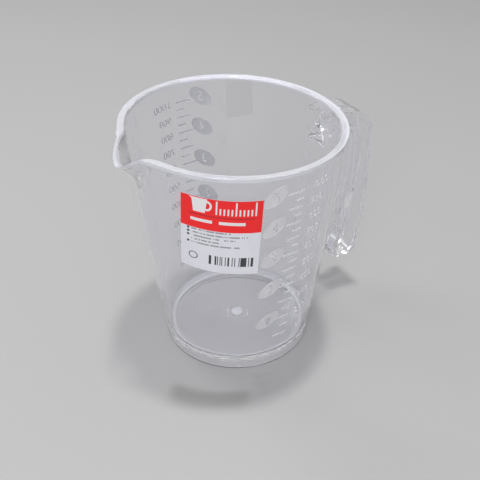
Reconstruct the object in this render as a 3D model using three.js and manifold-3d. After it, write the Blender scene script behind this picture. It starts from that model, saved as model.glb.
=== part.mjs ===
import * as THREE from 'three';
import { mergeVertices } from 'three/addons/utils/BufferGeometryUtils.js';
import Module from 'manifold-3d';

// A one-litre measuring cup in clear plastic: a tapered bowl with a rim that rises
// toward its pouring lip, a handle with an I-shaped section and a free lower end, and a paper label.
// Millimetres and degrees. The bowl's axis is Z, the handle points to +X, the lip to -X.

// Bowl: an upright band at the foot, then a wall that widens with a slight outward curve
const footRadius = 45.1;
const footBandHeight = 8;
const wallTopRadius = 61.6;
const wallBelly = 1.5;
const rimHeight = 143.5;
const wallThicknessLow = 2.5;
const wallThicknessTop = 3.0;
const floorHeight = 7.9;
const floorThickness = 2.6;
const floorFillet = 3.2;
const footRingThickness = 2.4;
const footRingFillet = 1.2;
const footEdgeRound = 0.4;

// Gate mark, a shallow round recess moulded under the floor
const gateRadius = 6.8;
const gateDepth = 0.8;
const gateChamfer = 0.6;

// Rim
const rimOverhang = 1.3;
const rimBeadHeight = 2.35;
const rimEdgeRound = 0.4;
const rimInnerRound = 1.1;
const rimTilt = 3;

// Pouring lip
const lipReach = 10.1;
const lipDrop = 8.9;
const lipHalfAngle = 26;
const lipSharpness = 1.8;
const lipDropSharpness = 4;
const lipDepth = 29.7;
const lipThickness = 1.8;
const lipThinningDepth = 14;
const beadEndAngle = 15.5;
const beadFadeAngle = 3.5;

// Graduations in relief, in millilitres where they are volumes
const markVolumeFirst = 100;
const markVolumeLast = 1000;
const markVolumeStep = 50;
const markRelief = 0.3;
const markWidth = 0.9;
const markShort = 5.6;
const markMedium = 8.9;
const markLong = 10.1;
const markLineAngle = -85.4;
const ovalVolumeStep = 200;
const ovalLength = 16.4;
const ovalBreadth = 8.8;
const ovalTilt = 43;
const ovalLineAngle = -101.3;
const ovalRise = 0.6;

// Handle: standoffs are measured out from the wall, drops down from the rim
const flangeWidthOuter = 20.3;
const flangeWidthInner = 16.3;
const flangeThicknessOuter = 3.2;
const flangeThicknessInner = 3.0;
const flangeEdgeRound = 0.6;
const webThickness = 2.6;
const handleRootDrop = 9.5;
const handleShoulderDrop = 13.2;
const handleShoulderReach = 30.6;
const handleShoulderEase = 20;
const handleBellyHeight = 69;
const handleBellyReach = 37.6;
const handleBellyEase = 30;
const handleHeelHeight = 27.4;
const handleHeelReach = 36.7;
const handleHeelEase = 6.1;
const handleToeReach = 18.2;
const handleToeHeight = 25.3;
const handleToeEase = 9.4;
const handleTipTop = 46;
const handleTipWidth = 16.9;
const handleTipJoint = 42;
const flangeOverlap = 4;
const webOverlap = 1.5;

// Side of the handle toward the fingers
const gripRootDrop = 29.8;
const gripCrestDrop = 22.3;
const gripCrestReach = 9.7;
const gripCrestEase = 7;
const gripShoulderDrop = 28.7;
const gripShoulderReach = 24.5;
const gripShoulderEase = 10;
const gripBellyHeight = 85;
const gripBellyReach = 26.6;
const gripBellyEase = 20;

// Paper label on the wall
const labelWidth = 42.5;
const labelHeight = 50;
const labelThickness = 0.25;
const labelAngle = -129.5;
const labelMiddleDrop = 36.8;
const labelTurn = -4.3;

// Fits and resolution
const jointClearance = 0.3;
const handleRootTrim = 6.4;
const turns = 96;
const roundSteps = 3;
const wallRows = 5;
const lipRows = 6;
const pathSteps = 8;
const shortestStep = 0.2;
const ovalSides = 20;
const labelColumns = 10;
const labelRows = 6;
const mergeDistance = 1e-4;
const volumeSlice = 0.05;
const cubicMillimetresPerMillilitre = 1000;

const wasm = await Module();
wasm.setup();

const rimRadius = wallTopRadius + rimOverhang;
const floorBottom = floorHeight - floorThickness;
const beadBottom = rimHeight - rimBeadHeight;
const lipStart = rimHeight - lipDepth;
const labelMiddleHeight = rimHeight - labelMiddleDrop;
const ovalLean = THREE.MathUtils.degToRad(ovalTilt);
const tiltSlope = Math.tan(THREE.MathUtils.degToRad(rimTilt));

// Share of the way from the foot band up to the rim.
function wallShare(height) {
  return THREE.MathUtils.clamp((height - footBandHeight) / (rimHeight - footBandHeight), 0, 1);
}

// The belly is how far the wall stands out of a straight line halfway up.
function outerRadius(height) {
  const share = wallShare(height);
  return THREE.MathUtils.lerp(footRadius, wallTopRadius, share) + 4 * wallBelly * share * (1 - share);
}

// How far the wall widens for each millimetre of height, above the foot band.
function wallSlope(height) {
  const widening = wallTopRadius - footRadius + 4 * wallBelly * (1 - 2 * wallShare(height));
  return widening / (rimHeight - footBandHeight);
}

function innerRadius(height) {
  const thickness = THREE.MathUtils.lerp(wallThicknessLow, wallThicknessTop, height / rimHeight);
  return outerRadius(height) - thickness;
}

// Points of a quarter round from one angle to another, about a centre.
function roundCorner(centreRadius, centreHeight, radius, fromDegrees, toDegrees) {
  const points = [];
  for (let step = 0; step <= roundSteps; step += 1) {
    const angle = THREE.MathUtils.degToRad(THREE.MathUtils.lerp(fromDegrees, toDegrees, step / roundSteps));
    points.push(new THREE.Vector2(centreRadius + radius * Math.cos(angle), centreHeight + radius * Math.sin(angle)));
  }
  return points;
}

// Heights of the rows of points up the wall, closer together in the lip's zone.
function wallHeights() {
  const heights = [];
  for (let row = 0; row < wallRows; row += 1) {
    heights.push(THREE.MathUtils.lerp(footBandHeight, lipStart, row / wallRows));
  }
  for (let row = 0; row <= lipRows; row += 1) {
    heights.push(THREE.MathUtils.lerp(lipStart, beadBottom, row / lipRows));
  }
  return heights;
}

// Half section of the bowl, from the axis under the floor round to the axis on top of it.
function bowlProfile() {
  const footInside = outerRadius(floorBottom) - footRingThickness;
  const footBottomInside = footRadius - footRingThickness;
  const rimInside = innerRadius(rimHeight);
  const filletTop = floorHeight + floorFillet;
  const floorEdge = innerRadius(filletTop) - floorFillet;
  const points = [
    new THREE.Vector2(0, floorBottom + gateDepth),
    new THREE.Vector2(gateRadius - gateChamfer, floorBottom + gateDepth),
    new THREE.Vector2(gateRadius, floorBottom),
    new THREE.Vector2(footInside - footRingFillet, floorBottom),
    new THREE.Vector2(footInside, floorBottom - footRingFillet),
    new THREE.Vector2(footBottomInside, footEdgeRound),
    new THREE.Vector2(footBottomInside + footEdgeRound, 0),
    new THREE.Vector2(footRadius - footEdgeRound, 0),
    new THREE.Vector2(outerRadius(footEdgeRound), footEdgeRound),
  ];
  for (const height of wallHeights()) {
    points.push(new THREE.Vector2(outerRadius(height), height));
  }
  points.push(new THREE.Vector2(rimRadius - rimEdgeRound, beadBottom));
  points.push(new THREE.Vector2(rimRadius, beadBottom + rimEdgeRound));
  points.push(new THREE.Vector2(rimRadius, rimHeight - rimEdgeRound));
  points.push(new THREE.Vector2(rimRadius - rimEdgeRound, rimHeight));
  points.push(...roundCorner(rimInside + rimInnerRound, rimHeight - rimInnerRound, rimInnerRound, 90, 180));
  for (const height of wallHeights().reverse()) {
    if (height < beadBottom && height > filletTop) {
      points.push(new THREE.Vector2(innerRadius(height), height));
    }
  }
  points.push(...roundCorner(floorEdge, filletTop, floorFillet, 0, -90));
  points.push(new THREE.Vector2(0, floorHeight));
  return points;
}

// Turns a half section about Z into one closed geometry.
function turned(profile) {
  const lathe = new THREE.LatheGeometry(profile, turns);
  lathe.rotateX(Math.PI / 2);
  return lathe;
}

// Moves a point of the plain bowl to where the tilted rim and the pouring lip put it.
function shapeRimAndLip(point) {
  const angle = Math.atan2(point.y, point.x);
  const radius = Math.hypot(point.x, point.y);
  const fromLip = Math.PI - Math.abs(angle);
  const rise = THREE.MathUtils.clamp((point.z - floorHeight) / (rimHeight - floorHeight), 0, 1);
  const lift = -tiltSlope * rimRadius * Math.cos(angle) * rise;
  const spread = THREE.MathUtils.clamp(fromLip / THREE.MathUtils.degToRad(lipHalfAngle), 0, 1);
  const bell = 0.5 + 0.5 * Math.cos(Math.PI * spread);
  const climb = THREE.MathUtils.clamp((point.z - lipStart) / lipDepth, 0, 1);
  const flare = climb * climb;
  const thinning = THREE.MathUtils.smoothstep(point.z, rimHeight - lipThinningDepth, rimHeight - rimBeadHeight);
  const fadeStart = THREE.MathUtils.degToRad(beadEndAngle - beadFadeAngle);
  const fadeEnd = THREE.MathUtils.degToRad(beadEndAngle);
  const bare = 1 - THREE.MathUtils.smoothstep(fromLip, fadeStart, fadeEnd);
  const middle = (outerRadius(point.z) + innerRadius(point.z)) / 2;
  const offset = radius - middle;
  const thinOffset = THREE.MathUtils.clamp(offset, -lipThickness / 2, lipThickness / 2);
  const shapedOffset = point.z > lipStart ? THREE.MathUtils.lerp(offset, thinOffset, bare * thinning) : offset;
  const reach = lipReach * Math.pow(bell, lipSharpness) * flare;
  const drop = lipDrop * Math.pow(bell, lipDropSharpness) * flare;
  const newRadius = middle + shapedOffset + wallSlope(point.z) * lift + reach;
  point.set(newRadius * Math.cos(angle), newRadius * Math.sin(angle), point.z + lift - drop);
}

function shapeBowl(geometry) {
  const position = geometry.getAttribute('position');
  const point = new THREE.Vector3();
  for (let index = 0; index < position.count; index += 1) {
    point.fromBufferAttribute(position, index);
    shapeRimAndLip(point);
    position.setXYZ(index, point.x, point.y, point.z);
  }
  return geometry;
}

// Closed triangles with shared corners and no slivers, as a solid for joining and cutting.
function solidOf(geometry) {
  const plain = geometry.clone();
  plain.deleteAttribute('normal');
  plain.deleteAttribute('uv');
  const merged = mergeVertices(plain, mergeDistance);
  const corners = merged.index.array;
  const position = merged.getAttribute('position').array;
  const kept = [];
  let volume = 0;
  for (let index = 0; index < corners.length; index += 3) {
    const [a, b, c] = corners.slice(index, index + 3);
    if (a !== b && b !== c && c !== a) {
      kept.push(a, b, c);
      const first = new THREE.Vector3().fromArray(position, a * 3);
      const second = new THREE.Vector3().fromArray(position, b * 3);
      const third = new THREE.Vector3().fromArray(position, c * 3);
      volume += first.dot(second.cross(third));
    }
  }
  if (volume < 0) {
    kept.reverse();
  }
  const mesh = new wasm.Mesh({
    numProp: 3,
    vertProperties: Float32Array.from(position),
    triVerts: Uint32Array.from(kept),
  });
  return new wasm.Manifold(mesh);
}

function geometryOf(solid) {
  const mesh = solid.getMesh();
  const geometry = new THREE.BufferGeometry();
  geometry.setAttribute('position', new THREE.BufferAttribute(Float32Array.from(mesh.vertProperties), 3));
  geometry.setIndex(new THREE.BufferAttribute(Uint32Array.from(mesh.triVerts), 1));
  geometry.computeVertexNormals();
  return geometry;
}

// Height of the liquid's surface for a volume, from the bowl's inside sizes.
function heightOfVolume(millilitres) {
  let height = floorHeight;
  let filled = 0;
  while (filled < millilitres * cubicMillimetresPerMillilitre) {
    filled += Math.PI * innerRadius(height) ** 2 * volumeSlice;
    height += volumeSlice;
  }
  return height;
}

// A plain core along the wall's outside, held off it by a distance.
function wallCore(standoff) {
  const heights = [0, ...wallHeights(), rimHeight];
  const side = heights.map((height) => new THREE.Vector2(outerRadius(height) + standoff, height));
  return solidOf(turned([new THREE.Vector2(0, 0), ...side, new THREE.Vector2(0, rimHeight)]));
}

// Puts a piece made at the origin, facing +X, on the wall at an angle and height.
function onWall(geometry, angle, height) {
  geometry.translate(outerRadius(height), 0, 0);
  geometry.rotateZ(angle);
  geometry.translate(0, 0, height);
  return geometry;
}

function markLength(volume) {
  if (volume % ovalVolumeStep === 0) {
    return markLong;
  }
  return volume % (2 * markVolumeStep) === 0 ? markMedium : markShort;
}

// An oval that leans over to the right when it is seen from outside, made at the origin facing +X.
function tiltedOval() {
  const oval = new THREE.CylinderGeometry(1, 1, wallThicknessLow, ovalSides);
  oval.rotateZ(Math.PI / 2);
  oval.scale(1, ovalLength / 2, ovalBreadth / 2);
  oval.rotateX(ovalLean);
  return oval;
}

// The two facing scales: bars at each volume and an oval beside every larger one.
function scaleRelief() {
  const pieces = [];
  const ovalReach = Math.hypot(ovalLength * Math.sin(ovalLean), ovalBreadth * Math.cos(ovalLean)) / 2;
  const highest = beadBottom - tiltSlope * rimRadius - ovalReach;
  const marked = [];
  for (let volume = markVolumeFirst; volume <= markVolumeLast; volume += markVolumeStep) {
    marked.push({ volume, height: heightOfVolume(volume) });
  }
  for (const side of [0, Math.PI]) {
    const line = THREE.MathUtils.degToRad(markLineAngle) + side;
    const ovalLine = THREE.MathUtils.degToRad(ovalLineAngle) + side;
    for (const { volume, height } of marked.filter((mark) => mark.height < highest)) {
      const length = markLength(volume);
      const bar = new THREE.BoxGeometry(wallThicknessLow, length, markWidth);
      pieces.push(solidOf(onWall(bar, line - length / 2 / outerRadius(height), height)));
      if (volume % ovalVolumeStep === 0) {
        pieces.push(solidOf(onWall(tiltedOval(), ovalLine, height + ovalRise)));
      }
    }
  }
  const bounds = wallCore(markRelief);
  return pieces.reduce((joined, piece) => joined.add(piece)).intersect(bounds);
}

// A line through corners, each eased over a length either side of it.
function easedLine(corners) {
  const path = new THREE.Path();
  const first = corners[0].at;
  path.moveTo(first.x, first.y);
  for (let index = 1; index < corners.length - 1; index += 1) {
    const { at, ease } = corners[index];
    const before = corners[index - 1].at.clone().sub(at);
    const after = corners[index + 1].at.clone().sub(at);
    const reach = Math.min(ease, before.length() / 2, after.length() / 2);
    const start = at.clone().add(before.setLength(reach));
    const end = at.clone().add(after.setLength(reach));
    path.lineTo(start.x, start.y);
    path.quadraticCurveTo(at.x, at.y, end.x, end.y);
  }
  const last = corners[corners.length - 1].at;
  path.lineTo(last.x, last.y);
  const points = path.getPoints(pathSteps);
  return points.filter((point, index) => index === 0 || point.distanceTo(points[index - 1]) > shortestStep);
}

// The same line moved sideways, to the left of its direction for a positive distance.
function movedLine(line, distance) {
  return line.map((point, index) => {
    const before = line[Math.max(index - 1, 0)];
    const after = line[Math.min(index + 1, line.length - 1)];
    const along = after.clone().sub(before).normalize();
    return new THREE.Vector2(point.x - along.y * distance, point.y + along.x * distance);
  });
}

// The share of a band's width that is left at a point of the handle's free end, from the heel to the toe.
function tipShare(x, height, width, tipWidth) {
  if (height > handleTipTop) {
    return 1;
  }
  const toe = corner(handleToeReach, handleToeHeight).at.x;
  const heel = corner(handleHeelReach, handleHeelHeight).at.x - flangeThicknessOuter;
  const share = THREE.MathUtils.clamp((x - toe) / (heel - toe), 0, 1);
  return THREE.MathUtils.lerp(tipWidth / width, 1, share);
}

// A band between two lines in the handle's middle plane, as wide across it as stated. Round the
// free end it narrows to its tip width.
function band(lineA, lineB, width, edgeRound, tipWidth = width) {
  const shape = new THREE.Shape([...lineA, ...lineB.slice().reverse()]);
  const depth = width - 2 * edgeRound;
  const geometry = new THREE.ExtrudeGeometry(shape, {
    depth,
    bevelEnabled: edgeRound > 0,
    bevelThickness: edgeRound,
    bevelSize: edgeRound,
    bevelOffset: -edgeRound,
    bevelSegments: 1,
  });
  geometry.translate(0, 0, -depth / 2);
  geometry.rotateX(Math.PI / 2);
  const places = geometry.getAttribute('position');
  for (let index = 0; index < places.count; index += 1) {
    const share = tipShare(places.getX(index), places.getZ(index), width, tipWidth);
    places.setY(index, places.getY(index) * share);
  }
  return solidOf(geometry);
}

function corner(standoff, height, ease = 0) {
  return { at: new THREE.Vector2(outerRadius(height) + standoff, height), ease };
}

// The handle's root runs on into the wall and is then trimmed to it. At the free end the outer flange
// turns round the toe and runs up into the inner one.
function handleSolid() {
  const inWall = -handleRootTrim;
  const shoulderHeight = rimHeight - handleShoulderDrop;
  const gripBelly = corner(gripBellyReach, gripBellyHeight, gripBellyEase);
  const toe = corner(handleToeReach, handleToeHeight, handleToeEase);
  const onGrip = (height) => {
    const share = (gripBellyHeight - height) / (gripBellyHeight - handleToeHeight);
    return { at: gripBelly.at.clone().lerp(toe.at, share), ease: 0 };
  };
  const outside = easedLine([
    corner(inWall, rimHeight - handleRootDrop),
    corner(handleShoulderReach, shoulderHeight, handleShoulderEase),
    corner(handleBellyReach, handleBellyHeight, handleBellyEase),
    corner(handleHeelReach, handleHeelHeight, handleHeelEase),
    toe,
    onGrip(handleTipJoint),
  ]);
  const gripLine = (lowEnd) => easedLine([
    corner(inWall, rimHeight - gripRootDrop + inWall),
    corner(gripCrestReach, rimHeight - gripCrestDrop, gripCrestEase),
    corner(gripShoulderReach, rimHeight - gripShoulderDrop, gripShoulderEase),
    gripBelly,
    onGrip(lowEnd),
  ]);
  const grip = gripLine(handleTipJoint - flangeOverlap);
  const outsideBack = movedLine(outside, -flangeThicknessOuter);
  const outerFlange = band(outside, outsideBack, flangeWidthOuter, flangeEdgeRound, handleTipWidth);
  const innerFlange = band(movedLine(grip, flangeThicknessInner), grip, flangeWidthInner, flangeEdgeRound);
  const web = band(
    movedLine(outside, -flangeThicknessOuter / 2),
    movedLine(gripLine(handleTipJoint + webOverlap), flangeThicknessInner / 2),
    webThickness,
    0,
  );
  const wall = wallCore(jointClearance);
  return outerFlange.add(innerFlange).add(web).subtract(wall);
}

// A flat sheet wrapped round the tapered wall without stretching it.
function labelGeometry() {
  const sheet = new THREE.BoxGeometry(labelWidth, labelHeight, labelThickness, labelColumns, labelRows, 1);
  sheet.rotateZ(THREE.MathUtils.degToRad(labelTurn));
  const taper = Math.atan(wallSlope(labelMiddleHeight));
  const slant = outerRadius(labelMiddleHeight) / Math.sin(taper);
  const position = sheet.getAttribute('position');
  for (let index = 0; index < position.count; index += 1) {
    const across = position.getX(index);
    const along = slant + position.getY(index);
    const proud = jointClearance + labelThickness / 2 + position.getZ(index);
    const distance = Math.hypot(across, along);
    const angle = THREE.MathUtils.degToRad(labelAngle) + Math.atan2(across, along) / Math.sin(taper);
    const height = labelMiddleHeight + (distance - slant) * Math.cos(taper);
    const radius = outerRadius(height) + proud;
    position.setXYZ(index, radius * Math.cos(angle), radius * Math.sin(angle), height);
  }
  return geometryOf(solidOf(sheet));
}

const clearPlastic = new THREE.MeshStandardMaterial({ color: 0xe4e6ee, roughness: 0.08, metalness: 0 });
const paper = new THREE.MeshStandardMaterial({ color: 0xf3f2f0, roughness: 0.55, metalness: 0 });

function named(name, geometry, material) {
  const mesh = new THREE.Mesh(geometry, material);
  mesh.name = name;
  return mesh;
}

const bowl = solidOf(shapeBowl(turned(bowlProfile()))).add(scaleRelief());
const cup = new THREE.Group();
cup.add(named('cup_body', geometryOf(bowl), clearPlastic));
cup.add(named('handle', geometryOf(handleSolid()), clearPlastic));
cup.add(named('label', labelGeometry(), paper));

// The origin is the middle of the space the cup takes up on the table.
const extent = new THREE.Box3().setFromObject(cup);
cup.position.x = -(extent.min.x + extent.max.x) / 2;

export default cup;
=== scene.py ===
"""Dresses a clear one-litre measuring cup: its moulding, frosted scales, paper label, studio and camera."""

from __future__ import annotations

import logging
import math
from collections.abc import Sequence
from dataclasses import dataclass
from enum import Enum

import bmesh
import bpy
from mathutils import Matrix, Vector


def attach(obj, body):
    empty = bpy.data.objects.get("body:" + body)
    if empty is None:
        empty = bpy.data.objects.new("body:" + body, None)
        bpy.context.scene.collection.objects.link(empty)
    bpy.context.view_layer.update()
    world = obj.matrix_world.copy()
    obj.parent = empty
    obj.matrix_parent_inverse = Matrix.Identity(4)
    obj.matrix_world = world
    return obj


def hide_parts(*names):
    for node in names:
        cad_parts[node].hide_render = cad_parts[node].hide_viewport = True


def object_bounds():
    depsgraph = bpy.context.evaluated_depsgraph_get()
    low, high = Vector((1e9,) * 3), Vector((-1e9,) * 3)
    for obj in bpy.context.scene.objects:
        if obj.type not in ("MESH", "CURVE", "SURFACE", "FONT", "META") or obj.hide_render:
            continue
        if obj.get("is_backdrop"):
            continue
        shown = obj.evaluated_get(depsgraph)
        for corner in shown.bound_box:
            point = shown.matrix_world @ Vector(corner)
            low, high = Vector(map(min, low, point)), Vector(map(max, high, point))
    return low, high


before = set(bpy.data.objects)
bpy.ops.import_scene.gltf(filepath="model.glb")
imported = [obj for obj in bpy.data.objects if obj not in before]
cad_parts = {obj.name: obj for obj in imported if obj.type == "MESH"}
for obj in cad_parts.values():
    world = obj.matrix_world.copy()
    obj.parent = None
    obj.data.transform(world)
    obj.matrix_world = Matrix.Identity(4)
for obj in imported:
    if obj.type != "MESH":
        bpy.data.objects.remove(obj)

MM = 0.001
MILLILITRE = 1e-6
BODY = "root"
PHOTO_SIDE = 480
SENSOR_WIDTH = 36.0
FACE_AREA_WEIGHT = 50
MERGE = 0.001 * MM
FINE_MERGE = 0.0001 * MM
TOUCH = 0.01 * MM
FOOT_SLICE = 0.1 * MM
FIGURE_TEXT_SIZE = 1.4
RIPPLE_DETAIL = 1.0
WEAR_DETAIL = 6.0
WORN_FROM_TO = (0.55, 0.75)
WEAR_HEIGHT = 0.04

Colour = tuple[float, float, float, float]
Point2 = tuple[float, float]

log = logging.getLogger("measuring_cup")


class Field:
    """A number in a node tree. Reckoning with fields adds math nodes to that tree."""

    def __init__(self, tree: bpy.types.NodeTree, socket: bpy.types.NodeSocket) -> None:
        """Wraps an output socket.

        Args:
            tree: The node tree that holds the socket.
            socket: The output socket that gives the number.
        """
        self.tree = tree
        self.socket = socket

    def reckon(self, operation: str, *operands: Field | float) -> Field:
        """Adds one math node.

        Args:
            operation: The math node's operation.
            operands: Fields or plain numbers, in the node's order.

        Returns:
            The node's result.
        """
        node = self.tree.nodes.new("ShaderNodeMath")
        node.operation = operation
        for slot, operand in zip(node.inputs, operands):
            if isinstance(operand, Field):
                self.tree.links.new(operand.socket, slot)
            else:
                slot.default_value = operand
        return Field(self.tree, node.outputs[0])

    def __add__(self, other: Field | float) -> Field:
        """Sum."""
        return self.reckon("ADD", self, other)

    def __radd__(self, other: float) -> Field:
        """Sum with a number in front."""
        return self.reckon("ADD", other, self)

    def __sub__(self, other: Field | float) -> Field:
        """Difference."""
        return self.reckon("SUBTRACT", self, other)

    def __rsub__(self, other: float) -> Field:
        """Difference from a number in front."""
        return self.reckon("SUBTRACT", other, self)

    def __mul__(self, other: Field | float) -> Field:
        """Product."""
        return self.reckon("MULTIPLY", self, other)

    def __rmul__(self, other: float) -> Field:
        """Product with a number in front."""
        return self.reckon("MULTIPLY", other, self)

    def __truediv__(self, other: Field | float) -> Field:
        """Quotient."""
        return self.reckon("DIVIDE", self, other)

    def __mod__(self, other: Field | float) -> Field:
        """Rest of a division, never negative."""
        return self.reckon("FLOORED_MODULO", self, other)

    def __pow__(self, other: Field | float) -> Field:
        """Power."""
        return self.reckon("POWER", self, other)

    def __gt__(self, other: Field | float) -> Field:
        """One where this is greater, else zero."""
        return self.reckon("GREATER_THAN", self, other)

    def __lt__(self, other: Field | float) -> Field:
        """One where this is less, else zero."""
        return self.reckon("LESS_THAN", self, other)

    def cos(self) -> Field:
        """Cosine."""
        return self.reckon("COSINE", self)

    def sin(self) -> Field:
        """Sine."""
        return self.reckon("SINE", self)

    def size(self) -> Field:
        """Absolute value."""
        return self.reckon("ABSOLUTE", self)

    def floor(self) -> Field:
        """Whole number below."""
        return self.reckon("FLOOR", self)

    def least(self, other: Field | float) -> Field:
        """The smaller of the two."""
        return self.reckon("MINIMUM", self, other)

    def most(self, other: Field | float) -> Field:
        """The larger of the two."""
        return self.reckon("MAXIMUM", self, other)

    def share(self) -> Field:
        """Kept between zero and one."""
        return self.least(1.0).most(0.0)

    def ease(self, start: Field | float, end: Field | float) -> Field:
        """Rises smoothly from zero at start to one at end.

        Args:
            start: Where the rise begins.
            end: Where the rise is complete.

        Returns:
            The eased share.
        """
        along = ((self - start) / (end - start)).share()
        return along * along * (3.0 - 2.0 * along)

    def between(self, low: Field | float, high: Field | float) -> Field:
        """One where low < this < high, else zero.

        Args:
            low: Lower limit.
            high: Upper limit.

        Returns:
            The mask.
        """
        return (self > low) * (self < high)

    def blend(self, other: Field, share: Field) -> Field:
        """Goes from this to another field.

        Args:
            other: The field at a share of one.
            share: How far to go.

        Returns:
            The blended number.
        """
        return self + (other - self) * share


class NodeTree:
    """A node tree in the making, with helpers to fill it."""

    def __init__(self, tree: bpy.types.NodeTree) -> None:
        """Takes over a tree.

        Args:
            tree: The tree to fill.
        """
        self.tree = tree

    def node(self, kind: str, **settings: object) -> bpy.types.Node:
        """Adds a node.

        Args:
            kind: The node type's identifier.
            settings: Properties to set on it.

        Returns:
            The new node.
        """
        node = self.tree.nodes.new(kind)
        for name, value in settings.items():
            setattr(node, name, value)
        return node

    def feed(self, socket: bpy.types.NodeSocket, value: object) -> None:
        """Links or sets one input.

        Args:
            socket: The input socket.
            value: A field, an output socket or a plain value.
        """
        if isinstance(value, Field):
            self.tree.links.new(value.socket, socket)
        elif isinstance(value, bpy.types.NodeSocket):
            self.tree.links.new(value, socket)
        else:
            socket.default_value = value

    def field(self, socket: bpy.types.NodeSocket) -> Field:
        """An output socket as a field."""
        return Field(self.tree, socket)

    def parts_of(self, vector: bpy.types.NodeSocket) -> list[Field]:
        """Splits a vector into its three fields."""
        split = self.node("ShaderNodeSeparateXYZ")
        self.feed(split.inputs[0], vector)
        return [self.field(output) for output in split.outputs]

    def vector(self, x: Field | float, y: Field | float, z: Field | float) -> bpy.types.NodeSocket:
        """Joins three fields into a vector."""
        join = self.node("ShaderNodeCombineXYZ")
        for socket, value in zip(join.inputs, (x, y, z)):
            self.feed(socket, value)
        return join.outputs[0]


class GeometryTree(NodeTree):
    """One geometry node tree with a geometry in and out and named sizes."""

    def __init__(self, name: str) -> None:
        """Starts an empty tree.

        Args:
            name: The tree's name.
        """
        super().__init__(bpy.data.node_groups.new(name, "GeometryNodeTree"))
        self.socket("Geometry", "NodeSocketGeometry", "INPUT")
        self.socket("Geometry", "NodeSocketGeometry", "OUTPUT")
        self.inlet = self.tree.nodes.new("NodeGroupInput")
        self.outlet = self.tree.nodes.new("NodeGroupOutput")
        self.geometry = self.inlet.outputs["Geometry"]

    def socket(self, name: str, kind: str, side: str) -> None:
        """Adds one socket to the tree's interface.

        Args:
            name: The socket's name.
            kind: The socket type's identifier.
            side: INPUT or OUTPUT.
        """
        self.tree.interface.new_socket(name, in_out=side, socket_type=kind)

    def number(self, name: str) -> Field:
        """Adds a named size and gives it as a field."""
        self.socket(name, "NodeSocketFloat", "INPUT")
        return self.field(self.inlet.outputs[name])

    def numbers(self, *names: str) -> list[Field]:
        """Adds several named sizes."""
        return [self.number(name) for name in names]

    def position(self) -> bpy.types.NodeSocket:
        """Where each point stands."""
        return self.node("GeometryNodeInputPosition").outputs[0]

    def keep(self, geometry: bpy.types.NodeSocket, name: str, value: Field | float) -> bpy.types.NodeSocket:
        """Stores a number on each point of a geometry.

        Args:
            geometry: The geometry.
            name: What the number is called.
            value: The number.

        Returns:
            The geometry with its stored number.
        """
        store = self.node("GeometryNodeStoreNamedAttribute", data_type="FLOAT", domain="POINT")
        self.feed(store.inputs["Geometry"], geometry)
        self.feed(store.inputs["Name"], name)
        self.feed(store.inputs["Value"], value)
        return store.outputs[0]

    def kept(self, name: str) -> Field:
        """A number that was stored under a name."""
        stored = self.node("GeometryNodeInputNamedAttribute", data_type="FLOAT")
        self.feed(stored.inputs["Name"], name)
        return self.field(stored.outputs[0])

    def place(self, geometry: bpy.types.NodeSocket, position: bpy.types.NodeSocket) -> bpy.types.NodeSocket:
        """Moves every point of a geometry.

        Args:
            geometry: The geometry to move.
            position: Where each point goes.

        Returns:
            The moved geometry.
        """
        move = self.node("GeometryNodeSetPosition")
        self.feed(move.inputs["Geometry"], geometry)
        self.feed(move.inputs["Position"], position)
        return move.outputs[0]

    def finish(self, geometry: bpy.types.NodeSocket) -> bpy.types.NodeTree:
        """Ends the tree in plain geometry with a material.

        Args:
            geometry: The geometry to hand out.

        Returns:
            The finished tree.
        """
        self.socket("Material", "NodeSocketMaterial", "INPUT")
        real = self.node("GeometryNodeRealizeInstances")
        dress = self.node("GeometryNodeSetMaterial")
        self.feed(real.inputs["Geometry"], geometry)
        self.feed(dress.inputs["Geometry"], real.outputs[0])
        self.feed(dress.inputs["Material"], self.inlet.outputs["Material"])
        self.feed(self.outlet.inputs["Geometry"], dress.outputs[0])
        return self.tree


def add_object(name: str, mesh: bpy.types.Mesh) -> bpy.types.Object:
    """Links a mesh into the scene at the origin.

    Args:
        name: The object's name.
        mesh: Its mesh.

    Returns:
        The new object.
    """
    made = bpy.data.objects.new(name, mesh)
    bpy.context.scene.collection.objects.link(made)
    return made


def mesh_of(made: bpy.types.Object) -> bpy.types.Mesh:
    """The object's mesh as its modifiers leave it.

    Args:
        made: An object with live modifiers, or a text.

    Returns:
        A plain mesh.
    """
    depsgraph = bpy.context.evaluated_depsgraph_get()
    return bpy.data.meshes.new_from_object(made.evaluated_get(depsgraph), depsgraph=depsgraph)


def discard(*objects: bpy.types.Object) -> None:
    """Removes helper objects."""
    for made in objects:
        bpy.data.objects.remove(made)


def grow(
    name: str,
    source: bpy.types.Mesh,
    tree: bpy.types.NodeTree,
    sizes: dict[str, object],
) -> bpy.types.Mesh:
    """Runs a geometry node tree on a mesh.

    Args:
        name: Name of the new mesh.
        source: The mesh that goes in.
        tree: The finished tree.
        sizes: A value for each named input.

    Returns:
        The plain mesh that comes out.
    """
    holder = add_object(name + "_source", source)
    modifier = holder.modifiers.new(tree.name, "NODES")
    modifier.node_group = tree
    for item in tree.interface.items_tree:
        if item.in_out == "INPUT" and item.name in sizes:
            modifier[item.identifier] = sizes[item.name]
    made = mesh_of(holder)
    made.name = name
    holder.modifiers.remove(modifier)
    discard(holder)
    return made


def points_mesh(name: str, points: Sequence[Point2]) -> bpy.types.Mesh:
    """A mesh of loose points in the X-Z plane.

    Args:
        name: The mesh's name.
        points: Radius and height of each point.

    Returns:
        The mesh.
    """
    made = bpy.data.meshes.new(name)
    made.from_pydata([(radius, 0.0, height) for radius, height in points], [], [])
    return made


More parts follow.
